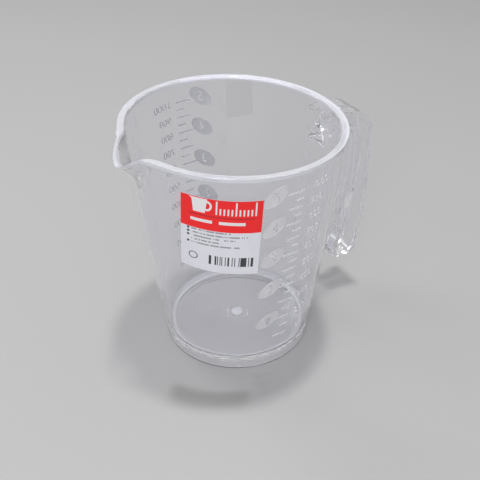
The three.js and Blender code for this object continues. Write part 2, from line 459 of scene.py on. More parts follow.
def face_outward(mesh: bpy.types.Mesh, merge: float = FINE_MERGE) -> bpy.types.Mesh:
    """Merges doubled points and turns all faces outward.

    Args:
        mesh: A closed mesh.
        merge: Points nearer than this are merged.

    Returns:
        The same mesh.
    """
    work = bmesh.new()
    work.from_mesh(mesh)
    bmesh.ops.remove_doubles(work, verts=work.verts, dist=merge)
    bmesh.ops.dissolve_degenerate(work, edges=work.edges, dist=merge)
    bmesh.ops.recalc_face_normals(work, faces=work.faces)
    work.to_mesh(mesh)
    work.free()
    return mesh


def shade_smooth(mesh: bpy.types.Mesh, crease: float) -> bpy.types.Mesh:
    """Smooth shading with creases kept.

    Args:
        mesh: The mesh to shade.
        crease: Edges sharper than this many degrees stay sharp.

    Returns:
        The same mesh.
    """
    mesh.polygons.foreach_set("use_smooth", [True] * len(mesh.polygons))
    mesh.set_sharp_from_angle(angle=math.radians(crease))
    return mesh


def flat_faces_first(mesh: bpy.types.Mesh) -> bpy.types.Mesh:
    """Shades a smooth mesh so that large faces look flat and only the rounds look round.

    Args:
        mesh: A mesh with smooth shading.

    Returns:
        A copy with the new shading.
    """
    holder = add_object("shading", mesh)
    modifier = holder.modifiers.new("flat_faces", "WEIGHTED_NORMAL")
    modifier.mode = "FACE_AREA"
    modifier.weight = FACE_AREA_WEIGHT
    modifier.keep_sharp = True
    made = mesh_of(holder)
    discard(holder)
    return made


class Join(Enum):
    """How one solid is worked with another."""

    ADD = "UNION"
    CUT = "DIFFERENCE"


class Solver(Enum):
    """How Blender works out a join."""

    CLOSED = "MANIFOLD"
    ANY = "EXACT"


def joined(
    base: bpy.types.Mesh,
    steps: Sequence[tuple[Join, bpy.types.Mesh]],
    solver: Solver,
) -> bpy.types.Mesh:
    """Adds and cuts closed meshes, one after another.

    Args:
        base: The mesh to start from.
        steps: What to do and with which mesh.
        solver: The way that suits the meshes.

    Returns:
        The resulting mesh.
    """
    holder = add_object("join_base", base)
    tools = []
    for kind, mesh in steps:
        tool = add_object("join_tool", mesh)
        modifier = holder.modifiers.new("join", "BOOLEAN")
        modifier.operation = kind.value
        modifier.solver = solver.value
        modifier.object = tool
        tools.append(tool)
    made = mesh_of(holder)
    discard(holder, *tools)
    return made


def gathered(name: str, meshes: Sequence[bpy.types.Mesh]) -> bpy.types.Mesh:
    """Puts meshes together in one, cut into triangles.

    Args:
        name: The new mesh's name.
        meshes: What goes into it.

    Returns:
        The mesh.
    """
    work = bmesh.new()
    for mesh in meshes:
        work.from_mesh(mesh)
    bmesh.ops.triangulate(work, faces=work.faces)
    made = bpy.data.meshes.new(name)
    work.to_mesh(made)
    work.free()
    return made


def arc(centre: Point2, radius: float, start: float, end: float, steps: int) -> list[Point2]:
    """Points of a round.

    Args:
        centre: Radius and height of its centre.
        radius: Its radius.
        start: First angle in degrees, from outward toward up.
        end: Last angle in degrees.
        steps: Number of stretches.

    Returns:
        The points, both ends included.
    """
    turn = (math.radians(start + (end - start) * step / steps) for step in range(steps + 1))
    return [(centre[0] + radius * math.cos(angle), centre[1] + radius * math.sin(angle)) for angle in turn]


def stretch(start: float, end: float, steps: int) -> list[float]:
    """Evenly spaced values, both ends included."""
    return [start + (end - start) * step / steps for step in range(steps + 1)]


@dataclass
class Bowl:
    """The turned bowl with its foot, tilted rim and pouring lip. Metres and degrees."""

    axis_x: float
    foot_radius: float = 45.1 * MM
    foot_band: float = 8.0 * MM
    wall_top_radius: float = 61.6 * MM
    wall_belly: float = 1.5 * MM
    rim_height: float = 143.5 * MM
    wall_low: float = 2.5 * MM
    wall_top: float = 3.0 * MM
    floor_height: float = 7.9 * MM
    floor_thickness: float = 2.6 * MM
    floor_fillet: float = 3.2 * MM
    foot_ring: float = 2.4 * MM
    foot_fillet: float = 1.2 * MM
    foot_round: float = 0.5 * MM
    gate_radius: float = 6.8 * MM
    gate_depth: float = 0.8 * MM
    gate_chamfer: float = 0.6 * MM
    spot_radius: float = 3.5 * MM
    spot_height: float = 0.4 * MM
    ring_radius: float = 36.5 * MM
    ring_width: float = 2.4 * MM
    ring_height: float = 0.35 * MM
    rim_overhang: float = 1.3 * MM
    bead_height: float = 2.35 * MM
    bead_round: float = 0.45 * MM
    rim_inner_round: float = 1.1 * MM
    rim_tilt: float = 3.0
    lip_reach: float = 10.1 * MM
    lip_drop: float = 8.9 * MM
    lip_half_angle: float = 26.0
    lip_sharpness: float = 1.8
    drop_sharpness: float = 4.0
    lip_depth: float = 29.7 * MM
    lip_thickness: float = 1.8 * MM
    lip_edge: float = 1.3 * MM
    thinning_depth: float = 14.0 * MM
    bead_end_angle: float = 15.5
    bead_fade_angle: float = 3.5
    volume_slice: float = 0.05 * MM
    turns: int = 288
    under_rows: int = 4
    floor_rows: int = 6
    spot_rows: int = 4
    spot_start: float = 0.8
    band_rows: int = 3
    wall_rows: int = 14
    lip_rows: int = 16
    round_steps: int = 5

    @property
    def rim_radius(self) -> float:
        """Outer radius of the rim bead."""
        return self.wall_top_radius + self.rim_overhang

    def wall_share(self, height: float) -> float:
        """Share of the way from the foot band up to the rim."""
        return min(max((height - self.foot_band) / (self.rim_height - self.foot_band), 0.0), 1.0)

    def wall_slope(self, height: float) -> float:
        """How far the outside widens for each unit of height, above the foot band."""
        widening = self.wall_top_radius - self.foot_radius
        widening += 4 * self.wall_belly * (1 - 2 * self.wall_share(height))
        return widening / (self.rim_height - self.foot_band)

    def outer_radius(self, height: float) -> float:
        """Radius of the outside at a height."""
        share = self.wall_share(height)
        straight = self.foot_radius + (self.wall_top_radius - self.foot_radius) * share
        return straight + 4 * self.wall_belly * share * (1 - share)

    def inner_radius(self, height: float) -> float:
        """Radius of the inside at a height."""
        thickening = (self.wall_top - self.wall_low) * height / self.rim_height
        return self.outer_radius(height) - self.wall_low - thickening

    def height_of_volume(self, millilitres: float) -> float:
        """Height of the liquid's surface.

        Args:
            millilitres: The volume poured in.

        Returns:
            The height above the table.
        """
        height, filled = self.floor_height, 0.0
        while filled < millilitres * MILLILITRE:
            filled += math.pi * self.inner_radius(height) ** 2 * self.volume_slice
            height += self.volume_slice
        return height

    def profile(self) -> list[Point2]:
        """Half section, from the axis under the floor round to the axis on top of it."""
        under = self.floor_height - self.floor_thickness
        foot_inside = self.outer_radius(under) - self.foot_ring
        foot_bottom = self.foot_radius - self.foot_ring
        bead_bottom = self.rim_height - self.bead_height
        lip_start = self.rim_height - self.lip_depth
        rim_inside = self.inner_radius(self.rim_height)
        fillet_top = self.floor_height + self.floor_fillet
        fillet_centre = self.inner_radius(fillet_top) - self.floor_fillet
        corner = self.bead_round
        steps = self.round_steps
        points = [(0.0, under + self.gate_depth)]
        points.append((self.gate_radius - self.gate_chamfer, under + self.gate_depth))
        points.append((self.gate_radius, under))
        fillet, foot_round = self.foot_fillet, self.foot_round
        below = stretch(self.gate_radius, foot_inside - fillet, self.under_rows)
        points += [(radius, under) for radius in below[1:-1]]
        points += arc((foot_inside - fillet, under - fillet), fillet, 90, 0, steps)
        points += arc((foot_bottom + foot_round, foot_round), foot_round, 180, 270, steps)
        points += arc((self.foot_radius - foot_round, foot_round), foot_round, 270, 360, steps)
        wall = stretch(2 * self.foot_round, self.foot_band, self.band_rows)
        wall += stretch(self.foot_band, lip_start, self.wall_rows)[1:]
        wall += stretch(lip_start, bead_bottom, self.lip_rows)[1:]
        points += [(self.outer_radius(height), height) for height in wall]
        points += arc((self.rim_radius - corner, bead_bottom + corner), corner, 270, 360, steps)
        points += arc((self.rim_radius - corner, self.rim_height - corner), corner, 0, 90, steps)
        inner = self.rim_inner_round
        points += arc((rim_inside + inner, self.rim_height - inner), inner, 90, 180, steps)
        inside = stretch(bead_bottom, lip_start, self.lip_rows)
        inside += stretch(lip_start, fillet_top, self.wall_rows)[1:-1]
        points += [(self.inner_radius(height), height) for height in inside]
        points += arc((fillet_centre, fillet_top), self.floor_fillet, 0, -90, 2 * steps)
        ring_foot, ring_top = self.ring_width / 2, self.ring_width / 4
        on_ring = self.floor_height + self.ring_height
        points.append((self.ring_radius + ring_foot, self.floor_height))
        points += [(self.ring_radius + ring_top, on_ring), (self.ring_radius - ring_top, on_ring)]
        flat = stretch(self.ring_radius - ring_foot, self.spot_radius, self.floor_rows)
        points += [(radius, self.floor_height) for radius in flat]
        for share in stretch(self.spot_start, 0.0, self.spot_rows):
            on_spot = self.floor_height + self.spot_height * (1 - share ** 2)
            points.append((self.spot_radius * share, on_spot))
        return points

    def is_thick(self, place: Vector) -> bool:
        """Whether a place on the bowl is on the rim bead, the gate's spot or the floor's corner, where glow
        and highlights are painted.

        Args:
            place: Middle of a face.

        Returns:
            True where the lighter copy of the plastic paints glow and highlights.
        """
        across, aside = place.x - self.axis_x, place.y
        radius = math.hypot(across, aside)
        if radius < self.spot_radius:
            return self.floor_height < place.z < self.floor_height + self.spot_height
        above_floor = place.z - self.floor_height
        if 0.0 < above_floor < self.floor_fillet:
            wall = self.inner_radius(place.z) + self.foot_round
            return self.ring_radius + self.ring_width < radius < wall
        angle = math.atan2(aside, across)
        lift = -math.tan(math.radians(self.rim_tilt)) * self.rim_radius * math.cos(angle)
        from_lip = (math.pi - abs(angle)) / math.radians(self.lip_half_angle)
        bell = 0.5 + 0.5 * math.cos(min(from_lip, 1.0) * math.pi)
        top = self.rim_height + lift - self.lip_drop * bell ** self.drop_sharpness
        reach = self.rim_radius + self.lip_reach * bell ** self.lip_sharpness
        bare = math.pi - abs(angle) < math.radians(self.bead_end_angle)
        deep = self.lip_edge if bare else self.bead_height
        return place.z > top - deep and radius < reach + self.bead_round

    def wall_rule(self, make: GeometryTree, height: Field) -> tuple[Field, Field]:
        """Adds the wall's outside to a tree.

        Args:
            make: The tree in the making. It gets the sizes of the wall.
            height: Where the wall is wanted.

        Returns:
            The wall's radius there, and how far it widens for each unit of height.
        """
        foot_radius, foot_band, top_radius = make.numbers("Foot Radius", "Foot Band", "Wall Top Radius")
        belly, rim_height = make.numbers("Wall Belly", "Wall Height")
        rise = rim_height - foot_band
        share = ((height - foot_band) / rise).share()
        radius = foot_radius + (top_radius - foot_radius) * share + 4.0 * belly * share * (1.0 - share)
        return radius, (top_radius - foot_radius + 4.0 * belly * (1.0 - 2.0 * share)) / rise

    def wall_values(self) -> dict[str, object]:
        """Values of the inputs that wall_rule adds."""
        return {
            "Foot Radius": self.foot_radius,
            "Foot Band": self.foot_band,
            "Wall Top Radius": self.wall_top_radius,
            "Wall Belly": self.wall_belly,
            "Wall Height": self.rim_height,
        }

    def tree(self) -> bpy.types.NodeTree:
        """The rule that turns the half section and draws out the rim and lip."""
        make = GeometryTree("turned_bowl")
        turns, axis_x = make.numbers("Turns", "Axis X")
        wall_low, wall_top, rim_radius = make.numbers("Wall Low", "Wall Top", "Rim Radius")
        tilt_start, rim_height = make.numbers("Tilt Start", "Rim Height")
        bead_height, overhang, tilt = make.numbers("Bead Height", "Rim Overhang", "Tilt Slope")
        reach, drop, half_angle = make.numbers("Lip Reach", "Lip Drop", "Lip Half Angle")
        sharpness, drop_sharpness = make.numbers("Lip Sharpness", "Drop Sharpness")
        depth, thickness, thinning_depth = make.numbers("Lip Depth", "Lip Thickness", "Thinning Depth")
        bead_end, bead_fade = make.numbers("Bead End Angle", "Bead Fade Angle")

        count = make.node("GeometryNodeAttributeDomainSize", component="MESH")
        make.feed(count.inputs["Geometry"], make.geometry)
        grid = make.node("GeometryNodeMeshGrid")
        make.feed(grid.inputs["Vertices X"], count.outputs["Point Count"])
        make.feed(grid.inputs["Vertices Y"], turns + 1.0)
        index = make.field(make.node("GeometryNodeInputIndex").outputs[0])
        row = (index / (turns + 1.0)).floor()
        column = index - row * (turns + 1.0)
        sample = make.node("GeometryNodeSampleIndex", data_type="FLOAT_VECTOR", domain="POINT")
        make.feed(sample.inputs["Geometry"], make.geometry)
        make.feed(sample.inputs["Value"], make.position())
        make.feed(sample.inputs["Index"], row)
        radius, _, height = make.parts_of(sample.outputs[0])

        angle = column * math.tau / turns - math.pi
        from_lip = math.pi - angle.size()
        rise = ((height - tilt_start) / (rim_height - tilt_start)).share()
        lift = -1.0 * tilt * rim_radius * angle.cos() * rise
        bell = 0.5 + 0.5 * ((from_lip / half_angle).share() * math.pi).cos()
        climb = ((height - rim_height + depth) / depth).share()
        flare = climb * climb
        bead_bottom = rim_height - bead_height
        thinning = height.ease(rim_height - thinning_depth, bead_bottom)
        bare = 1.0 - from_lip.ease(bead_end - bead_fade, bead_end)
        wall_out, wall_slope = self.wall_rule(make, height)
        wall_in = wall_out - wall_low - (wall_top - wall_low) * height / rim_height
        middle = (wall_out + wall_in) / 2.0
        offset = radius - middle
        on_bead = (height > bead_bottom - TOUCH) * (radius > wall_out + TOUCH)
        half = (wall_out - wall_in) / 2.0 + overhang * on_bead
        shaped = offset.blend(offset * thickness / 2.0 / half, bare * thinning)
        new_radius = middle + shaped + wall_slope * lift + reach * bell ** sharpness * flare
        new_height = height + lift - drop * bell ** drop_sharpness * flare
        position = make.vector(axis_x + new_radius * angle.cos(), new_radius * angle.sin(), new_height)
        merge = make.node("GeometryNodeMergeByDistance")
        make.feed(merge.inputs["Geometry"], make.place(grid.outputs["Mesh"], position))
        merge.inputs["Distance"].default_value = MERGE
        return make.finish(merge.outputs[0])

    def mesh(self, material: bpy.types.Material) -> bpy.types.Mesh:
        """The whole bowl as one closed mesh.

        Args:
            material: Its finish.

        Returns:
            The mesh.
        """
        sizes = {
            "Turns": float(self.turns),
            "Axis X": self.axis_x,
            **self.wall_values(),
            "Wall Low": self.wall_low,
            "Wall Top": self.wall_top,
            "Rim Radius": self.rim_radius,
            "Tilt Start": self.floor_height + self.spot_height,
            "Rim Height": self.rim_height,
            "Bead Height": self.bead_height,
            "Rim Overhang": self.rim_overhang,
            "Tilt Slope": math.tan(math.radians(self.rim_tilt)),
            "Lip Reach": self.lip_reach,
            "Lip Drop": self.lip_drop,
            "Lip Half Angle": math.radians(self.lip_half_angle),
            "Lip Sharpness": self.lip_sharpness,
            "Drop Sharpness": self.drop_sharpness,
            "Lip Depth": self.lip_depth,
            "Lip Thickness": self.lip_thickness,
            "Thinning Depth": self.thinning_depth,
            "Bead End Angle": math.radians(self.bead_end_angle),
            "Bead Fade Angle": math.radians(self.bead_fade_angle),
            "Material": material,
        }
        profile = points_mesh("bowl_profile", self.profile())
        return face_outward(grow("bowl", profile, self.tree(), sizes))


@dataclass(frozen=True)
class Corner:
    """One corner of a handle line: out from the wall, up from the table, and how far it is eased."""

    standoff: float
    height: float
    ease: float = 0.0


@dataclass
class Handle:
    """The handle, with an I-shaped section and a free lower end. Metres; drops count down from the rim."""

    bowl: Bowl
    outer_width: float = 20.3 * MM
    inner_width: float = 16.3 * MM
    outer_thickness: float = 3.2 * MM
    inner_thickness: float = 3.0 * MM
    edge_round: float = 0.9 * MM
    web_thickness: float = 2.6 * MM
    root_drop: float = 9.5 * MM
    shoulder_drop: float = 13.2 * MM
    shoulder_standoff: float = 30.6 * MM
    shoulder_ease: float = 20.0 * MM
    back_height: float = 69.0 * MM
    back_standoff: float = 37.6 * MM
    back_ease: float = 30.0 * MM
    heel_height: float = 27.4 * MM
    heel_standoff: float = 36.7 * MM
    heel_ease: float = 6.1 * MM
    toe_height: float = 25.3 * MM
    toe_standoff: float = 18.2 * MM
    toe_ease: float = 9.4 * MM
    grip_root_drop: float = 29.8 * MM
    grip_crest_drop: float = 22.3 * MM
    grip_crest_standoff: float = 9.7 * MM
    grip_crest_ease: float = 7.0 * MM
    grip_shoulder_drop: float = 28.7 * MM
    grip_shoulder_standoff: float = 24.5 * MM
    grip_shoulder_ease: float = 10.0 * MM
    grip_height: float = 85.0 * MM
    grip_standoff: float = 26.6 * MM
    grip_ease: float = 20.0 * MM
    tip_width: float = 16.9 * MM
    tip_top: float = 46.0 * MM
    tip_joint: float = 42.0 * MM
    tip_overlap: float = 4.0 * MM
    web_overlap: float = 1.5 * MM
    root_overrun: float = 6.4 * MM
    root_depth: float = 1.6 * MM
    seam_low: float = 48.0 * MM
    seam_high: float = 118.0 * MM
    seam_width: float = 0.4 * MM
    seam_height: float = 0.25 * MM
    path_steps: int = 14
    shortest_step: float = 0.2 * MM
    round_steps: int = 3
    round_profile: float = 0.5

    def on_grip(self, height: float) -> Corner:
        """A corner on the straight line from the grip down to the toe.

        Args:
            height: Height of the corner.

        Returns:
            The corner, not eased.
        """
        share = (self.grip_height - height) / (self.grip_height - self.toe_height)
        grip = self.bowl.outer_radius(self.grip_height) + self.grip_standoff
        toe = self.bowl.outer_radius(self.toe_height) + self.toe_standoff
        return Corner(grip + (toe - grip) * share - self.bowl.outer_radius(height), height)

    def outside(self) -> list[Corner]:
        """Corners of the handle's outer line, from the root round the free end to the inner flange."""
        rim = self.bowl.rim_height
        return [
            Corner(-self.root_overrun, rim - self.root_drop),
            Corner(self.shoulder_standoff, rim - self.shoulder_drop, self.shoulder_ease),
            Corner(self.back_standoff, self.back_height, self.back_ease),
            Corner(self.heel_standoff, self.heel_height, self.heel_ease),
            Corner(self.toe_standoff, self.toe_height, self.toe_ease),
            self.on_grip(self.tip_joint),
        ]

    def opening(self, end: float) -> list[Corner]:
        """Corners of the line along the fingers, from the root to the free end.

        Args:
            end: Height of the line's lower end.

        Returns:
            The corners in order.
        """
        rim = self.bowl.rim_height
        return [
            Corner(-self.root_overrun, rim - self.grip_root_drop - self.root_overrun),
            Corner(self.grip_crest_standoff, rim - self.grip_crest_drop, self.grip_crest_ease),
            Corner(self.grip_shoulder_standoff, rim - self.grip_shoulder_drop, self.grip_shoulder_ease),
            Corner(self.grip_standoff, self.grip_height, self.grip_ease),
            self.on_grip(end),
        ]

    def line(self, corners: Sequence[Corner]) -> list[Vector]:
        """A line through corners, each eased over a length either side of it.

        Args:
            corners: The corners in order.

        Returns:
            Points in the handle's middle plane.
        """
        at = [Vector((self.bowl.outer_radius(c.height) + c.standoff, c.height)) for c in corners]
        points = [at[0]]
        for before, here, after, corner in zip(at, at[1:], at[2:], corners[1:]):
            reach = min(corner.ease, (before - here).length / 2, (after - here).length / 2)
            start = here + (before - here).normalized() * reach
            end = here + (after - here).normalized() * reach
            for share in stretch(0.0, 1.0, self.path_steps):
                point = start.lerp(here, share).lerp(here.lerp(end, share), share)
                if (point - points[-1]).length > self.shortest_step:
                    points.append(point)
        points.append(at[-1])
        return points

    @staticmethod
    def moved(line: Sequence[Vector], distance: float) -> list[Vector]:
        """The line moved sideways.

        Args:
            line: Points of the line.
            distance: How far, to the left of its direction where positive.

        Returns:
            The moved points.
        """
        made = []
        for before, here, after in zip([line[0], *line], line, [*line[1:], line[-1]]):
            along = (after - before).normalized()
            made.append(here + Vector((-along.y, along.x)) * distance)
        return made

    def trimmed(self, line: Sequence[Vector]) -> list[Vector]:
        """The line with its start cut off a little inside the wall.

        Args:
            line: Points of the line, which starts deep in the wall.

        Returns:
            The points that are left, from the one where the line was cut.
        """
        proud = [point.x - self.bowl.outer_radius(point.y) + self.root_depth for point in line]
        first = next(index for index, depth in enumerate(proud) if depth > 0.0)
        inside, outside = proud[first - 1], proud[first]
        return [line[first - 1].lerp(line[first], inside / (inside - outside)), *line[first:]]

    def half_width(self, point: Vector, width: float) -> float:
        """Half the band's width at a point, narrowed round the free end.

        Args:
            point: A point of the handle's middle plane.
            width: The band's full width.

        Returns:
            Half the width there.
        """
        if point.y > self.tip_top or width < self.tip_width:
            return width / 2
        heel = self.bowl.outer_radius(self.heel_height) + self.heel_standoff - self.outer_thickness
        toe = self.bowl.outer_radius(self.toe_height) + self.toe_standoff
        share = min(max((point.x - toe) / (heel - toe), 0.0), 1.0)
        return (self.tip_width + (width - self.tip_width) * share) / 2

    def band(
        self,
        one: Sequence[Vector],
        other: Sequence[Vector],
        width: float,
        edge: float,
    ) -> bpy.types.Mesh:
        """A closed band between two lines, with rounded long edges.

        Args:
            one: The line on one side.
            other: The line on the other side.
            width: Its width across the handle's middle plane.
            edge: Radius of the rounded edges, or nothing.

        Returns:
            The mesh.
        """
        outline = [*one, *reversed(other)]
        axis_x = self.bowl.axis_x
        work = bmesh.new()
        near = [work.verts.new((axis_x + p.x, -self.half_width(p, width), p.y)) for p in outline]
        far = [work.verts.new((axis_x + p.x, self.half_width(p, width), p.y)) for p in outline]
        work.faces.new(near)
        work.faces.new(list(reversed(far)))
        for index, vertex in enumerate(near):
            work.faces.new((vertex, near[index - 1], far[index - 1], far[index]))
        if edge:
            rims = [e for e in work.edges if abs(e.verts[0].co.y - e.verts[1].co.y) < width / 2]
            bmesh.ops.bevel(
                work,
                geom=rims,
                offset=edge,
                segments=self.round_steps,
                profile=self.round_profile,
                affect="EDGES",
            )
        bmesh.ops.recalc_face_normals(work, faces=work.faces)
        made = bpy.data.meshes.new("band")
        work.to_mesh(made)
        work.free()
        return made

    def seams(self) -> list[bpy.types.Mesh]:
        """Fine mould seams on the wall, below the handle's root in line with the inner flange's edges."""
        aside = self.inner_width / 2
        lines = []
        for proud in (self.seam_height, -self.root_depth):
            line = []
            for height in stretch(self.seam_low, self.seam_high, self.path_steps):
                wall = math.sqrt(self.bowl.outer_radius(height) ** 2 - aside ** 2)
                line.append(Vector((wall + proud, height)))
            lines.append(line)
        made = []
        for side in (-aside, aside):
            seam = self.band(*lines, self.seam_width, 0.0)
            seam.transform(Matrix.Translation((0.0, side, 0.0)))
            made.append(seam)
        return made

    def meshes(self) -> list[bpy.types.Mesh]:
        """The handle's two flanges, web and seams as closed meshes that start inside the wall."""
        outer = self.line(self.outside())
        inner = self.line(self.opening(self.tip_joint - self.tip_overlap))
        outer_back = self.moved(outer, -self.outer_thickness)
        inner_back = self.moved(inner, self.inner_thickness)
        web_outer = self.moved(outer, -self.outer_thickness / 2)
        web_edge = self.line(self.opening(self.tip_joint + self.web_overlap))
        web_inner = self.moved(web_edge, self.inner_thickness / 2)
        return [
            self.band(self.trimmed(outer), self.trimmed(outer_back), self.outer_width, self.edge_round),
            self.band(self.trimmed(inner_back), self.trimmed(inner), self.inner_width, self.edge_round),
            self.band(self.trimmed(web_outer), self.trimmed(web_inner), self.web_thickness, 0.0),
            *self.seams(),
        ]


@dataclass
class Moulding:
    """The bowl and the handle as the one clear moulding they are."""

    bowl: Bowl
    handle: Handle
    crease: float = 34.0

    def build(self, finish: ClearPlastic, glow_paint: ThickPlastic) -> bpy.types.Object:
        """Makes and dresses the moulding.

        Args:
            finish: The clear plastic.
            glow_paint: A lighter copy of the same plastic that paints glow and highlights on the rim, the
                gate's spot and the floor's corner.

        Returns:
            The piece.
        """
        material = finish.material()
        steps = [(Join.ADD, mesh) for mesh in self.handle.meshes()]
        mesh = joined(self.bowl.mesh(material), steps, Solver.CLOSED)
        mesh.name = "cup_moulding"
        mesh.materials.clear()
        mesh.materials.append(material)
        mesh.materials.append(glow_paint.material())
        face_outward(mesh)
        # Faces of the rim bead, gate spot and floor corner take the second slot, the lighter copy that
        # paints glow and highlights there.
        slots = [int(self.bowl.is_thick(face.center)) for face in mesh.polygons]
        mesh.polygons.foreach_set("material_index", slots)
        piece = add_object("cup_moulding", flat_faces_first(shade_smooth(mesh, self.crease)))
        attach(piece, BODY)
        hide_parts("cup_body", "handle")
        return piece


class MarkLength(Enum):
    """Lengths of the scale's bars, in metres."""

    SHORT = 5.6 * MM
    MEDIUM = 8.9 * MM
    LONG = 10.1 * MM


@dataclass
class Scales:
    """The two facing scales in frosted relief: bars, figures and numbered ovals."""

    bowl: Bowl
    first_volume: int = 100
    last_volume: int = 1000
    volume_step: int = 50
    figure_step: int = 100
    oval_step: int = 200
    line_angle: float = -85.4
    oval_line_angle: float = -101.3
    relief: float = 0.3 * MM
    cutter_depth: float = 0.9 * MM
    clearance: float = 0.02 * MM
    bar_width: float = 0.9 * MM
    bar_draft: float = 0.06
    figure_height: float = 4.4 * MM
    figure_width: float = 3.3 * MM
    figure_offset: float = 4.6 * MM
    figure_gap: float = 0.15
    figure_resolution: int = 4
    oval_length: float = 16.4 * MM
    oval_breadth: float = 8.8 * MM
    oval_tilt: float = 43.0
    oval_rise: float = 0.6 * MM
    oval_figure_height: float = 6.0 * MM
    oval_sides: int = 48
    bar_columns: int = 12
    cuts: int = 2
    crease: float = 40.0

    def wrap(self, make: GeometryTree, flat: bpy.types.NodeSocket, side: Field) -> bpy.types.NodeSocket:
        """Bends flat relief round the wall.

        Args:
            make: The tree in the making. It gets the sizes of the wall.
            flat: Relief laid flat: X out of the wall, Y round it, Z up.
            side: Zero for the front scale and one for the back.

        Returns:
            The relief on the wall.
        """
        axis_x, line_angle, clearance = make.numbers("Axis X", "Line Angle", "Clearance")
        out, along, height = make.parts_of(make.position())
        wall, _ = self.bowl.wall_rule(make, height)
        angle = line_angle + side * math.pi + along / wall
        radius = wall + clearance + out
        bent = make.vector(axis_x + radius * angle.cos(), radius * angle.sin(), height)
        return make.place(flat, bent)

    def wall_sizes(self, material: bpy.types.Material) -> dict[str, object]:
        """Values of the inputs that wrap adds.

        Args:
            material: The relief's finish.

        Returns:
            A value for each named input.
        """
        return {
            **self.bowl.wall_values(),
            "Axis X": self.bowl.axis_x,
            "Line Angle": math.radians(self.line_angle),
            "Clearance": self.clearance,
            "Material": material,
        }

    def bar_length(self, volume: int) -> float:
        """How long the bar at a volume is."""
        if volume % self.oval_step == 0:
            return MarkLength.LONG.value
        return (MarkLength.SHORT if volume % self.figure_step else MarkLength.MEDIUM).value

    def bar_points(self) -> bpy.types.Mesh:
        """A point for each bar of both scales: X is its length, Y its side and Z its height."""
        volumes = range(self.first_volume, self.last_volume + 1, self.volume_step)
        marks = [(self.bar_length(volume), self.bowl.height_of_volume(volume)) for volume in volumes]
        points = [(length, side, height) for side in (0.0, 1.0) for length, height in marks]
        made = bpy.data.meshes.new("bar_points")
        made.from_pydata(points, [], [])
        return made

    def bar_tree(self) -> bpy.types.NodeTree:
        """A bar at every point that goes in, bent round the wall."""
        make = GeometryTree("scale_bars")
        width, relief, draft = make.numbers("Bar Width", "Relief", "Draft")
        length, side, height = make.parts_of(make.position())
        points = make.keep(make.geometry, "length", length)
        points = make.keep(points, "side", side)
        placed = make.place(points, make.vector(0.0, length / -2.0, height))

        bar = make.node("GeometryNodeMeshCube")
        for name, count in (("Vertices X", 2), ("Vertices Y", self.bar_columns), ("Vertices Z", 2)):
            bar.inputs[name].default_value = count
        out, along, up = make.parts_of(make.position())
        taper = 1.0 - draft * (out + 0.5)
        blank = make.place(bar.outputs["Mesh"], make.vector(out + 0.5, along * taper, up * taper))
        copies = make.node("GeometryNodeInstanceOnPoints")
        make.feed(copies.inputs["Points"], placed)
        make.feed(copies.inputs["Instance"], blank)
        make.feed(copies.inputs["Scale"], make.vector(relief, make.kept("length"), width))
        real = make.node("GeometryNodeRealizeInstances")
        make.feed(real.inputs["Geometry"], copies.outputs[0])
        return make.finish(self.wrap(make, real.outputs[0], make.kept("side")))

    def figure_tree(self) -> bpy.types.NodeTree:
        """Flat figures cut finer, bent round the wall and repeated on the far side."""
        make = GeometryTree("scale_figures")
        split = make.node("GeometryNodeSubdivideMesh")
        make.feed(split.inputs["Mesh"], make.geometry)
        split.inputs["Level"].default_value = self.cuts
        both = make.node("GeometryNodeJoinGeometry")
        for side in (1.0, 0.0):
            make.feed(both.inputs[0], make.keep(split.outputs[0], "side", side))
        return make.finish(self.wrap(make, both.outputs[0], make.kept("side")))

    def figures(self, number: int, height: float, width: float, thickness: float) -> bpy.types.Mesh:
        """Flat solid figures of one number, centred on the origin.

        Args:
            number: The number to write.
            height: Height of the figures.
            width: Width that one figure takes.
            thickness: Thickness of the solid.

        Returns:
            A mesh with X out of the wall, Y round it and Z up.
        """
        text = bpy.data.curves.new("figures", "FONT")
        text.body = str(number)
        text.align_x = "CENTER"
        text.align_y = "CENTER"
        text.size = height * FIGURE_TEXT_SIZE
        text.resolution_u = self.figure_resolution
        text.extrude = thickness / 2
        holder = bpy.data.objects.new("figures", text)
        bpy.context.scene.collection.objects.link(holder)
        mesh = mesh_of(holder)
        discard(holder)
        across = [v.co.x for v in mesh.vertices]
        up = [v.co.y for v in mesh.vertices]
        wide = width * (len(text.body) - self.figure_gap) / (max(across) - min(across))
        tall = height / (max(up) - min(up))
        middle = Vector(((max(across) + min(across)) / 2, (max(up) + min(up)) / 2, 0.0))
        turn = Matrix(((0, 0, 1, 0), (1, 0, 0, 0), (0, 1, 0, 0), (0, 0, 0, 1)))
        mesh.transform(turn @ Matrix.Diagonal((wide, tall, 1.0, 1.0)) @ Matrix.Translation(-middle))
        return face_outward(mesh, merge=MERGE)

    def oval(self, number: int) -> bpy.types.Mesh:
        """A flat oval with its number cut through, leaning over to the right.

        Args:
            number: The number of cups that it stands for.

        Returns:
            A mesh with X out of the wall, Y round it and Z up.
        """
        lean = Matrix.Rotation(math.radians(self.oval_tilt), 4, "X")
        spread = Matrix.Diagonal((1.0, self.oval_length / 2, self.oval_breadth / 2, 1.0))
        work = bmesh.new()
        bmesh.ops.create_cone(
            work,
            cap_ends=True,
            segments=self.oval_sides,
            radius1=1.0,
            radius2=1.0 - self.bar_draft,
            depth=self.relief,
            matrix=lean @ spread @ Matrix.Rotation(math.pi / 2, 4, "Y"),
        )
        made = bpy.data.meshes.new("oval")
        work.to_mesh(made)
        work.free()
        cutter = self.figures(number, self.oval_figure_height, self.figure_width, self.cutter_depth)
        return joined(made, [(Join.CUT, cutter)], Solver.ANY)

    def flat_figures(self) -> bpy.types.Mesh:
        """Every number of one scale, laid flat."""
        numbers = []
        for volume in range(self.figure_step, self.last_volume + 1, self.figure_step):
            number = self.figures(volume, self.figure_height, self.figure_width, self.relief)
            aside = self.figure_offset + self.figure_width * len(str(volume)) / 2
            height = self.bowl.height_of_volume(volume)
            number.transform(Matrix.Translation((self.relief / 2, aside, height)))
            numbers.append(number)
        return gathered("flat_figures", numbers)

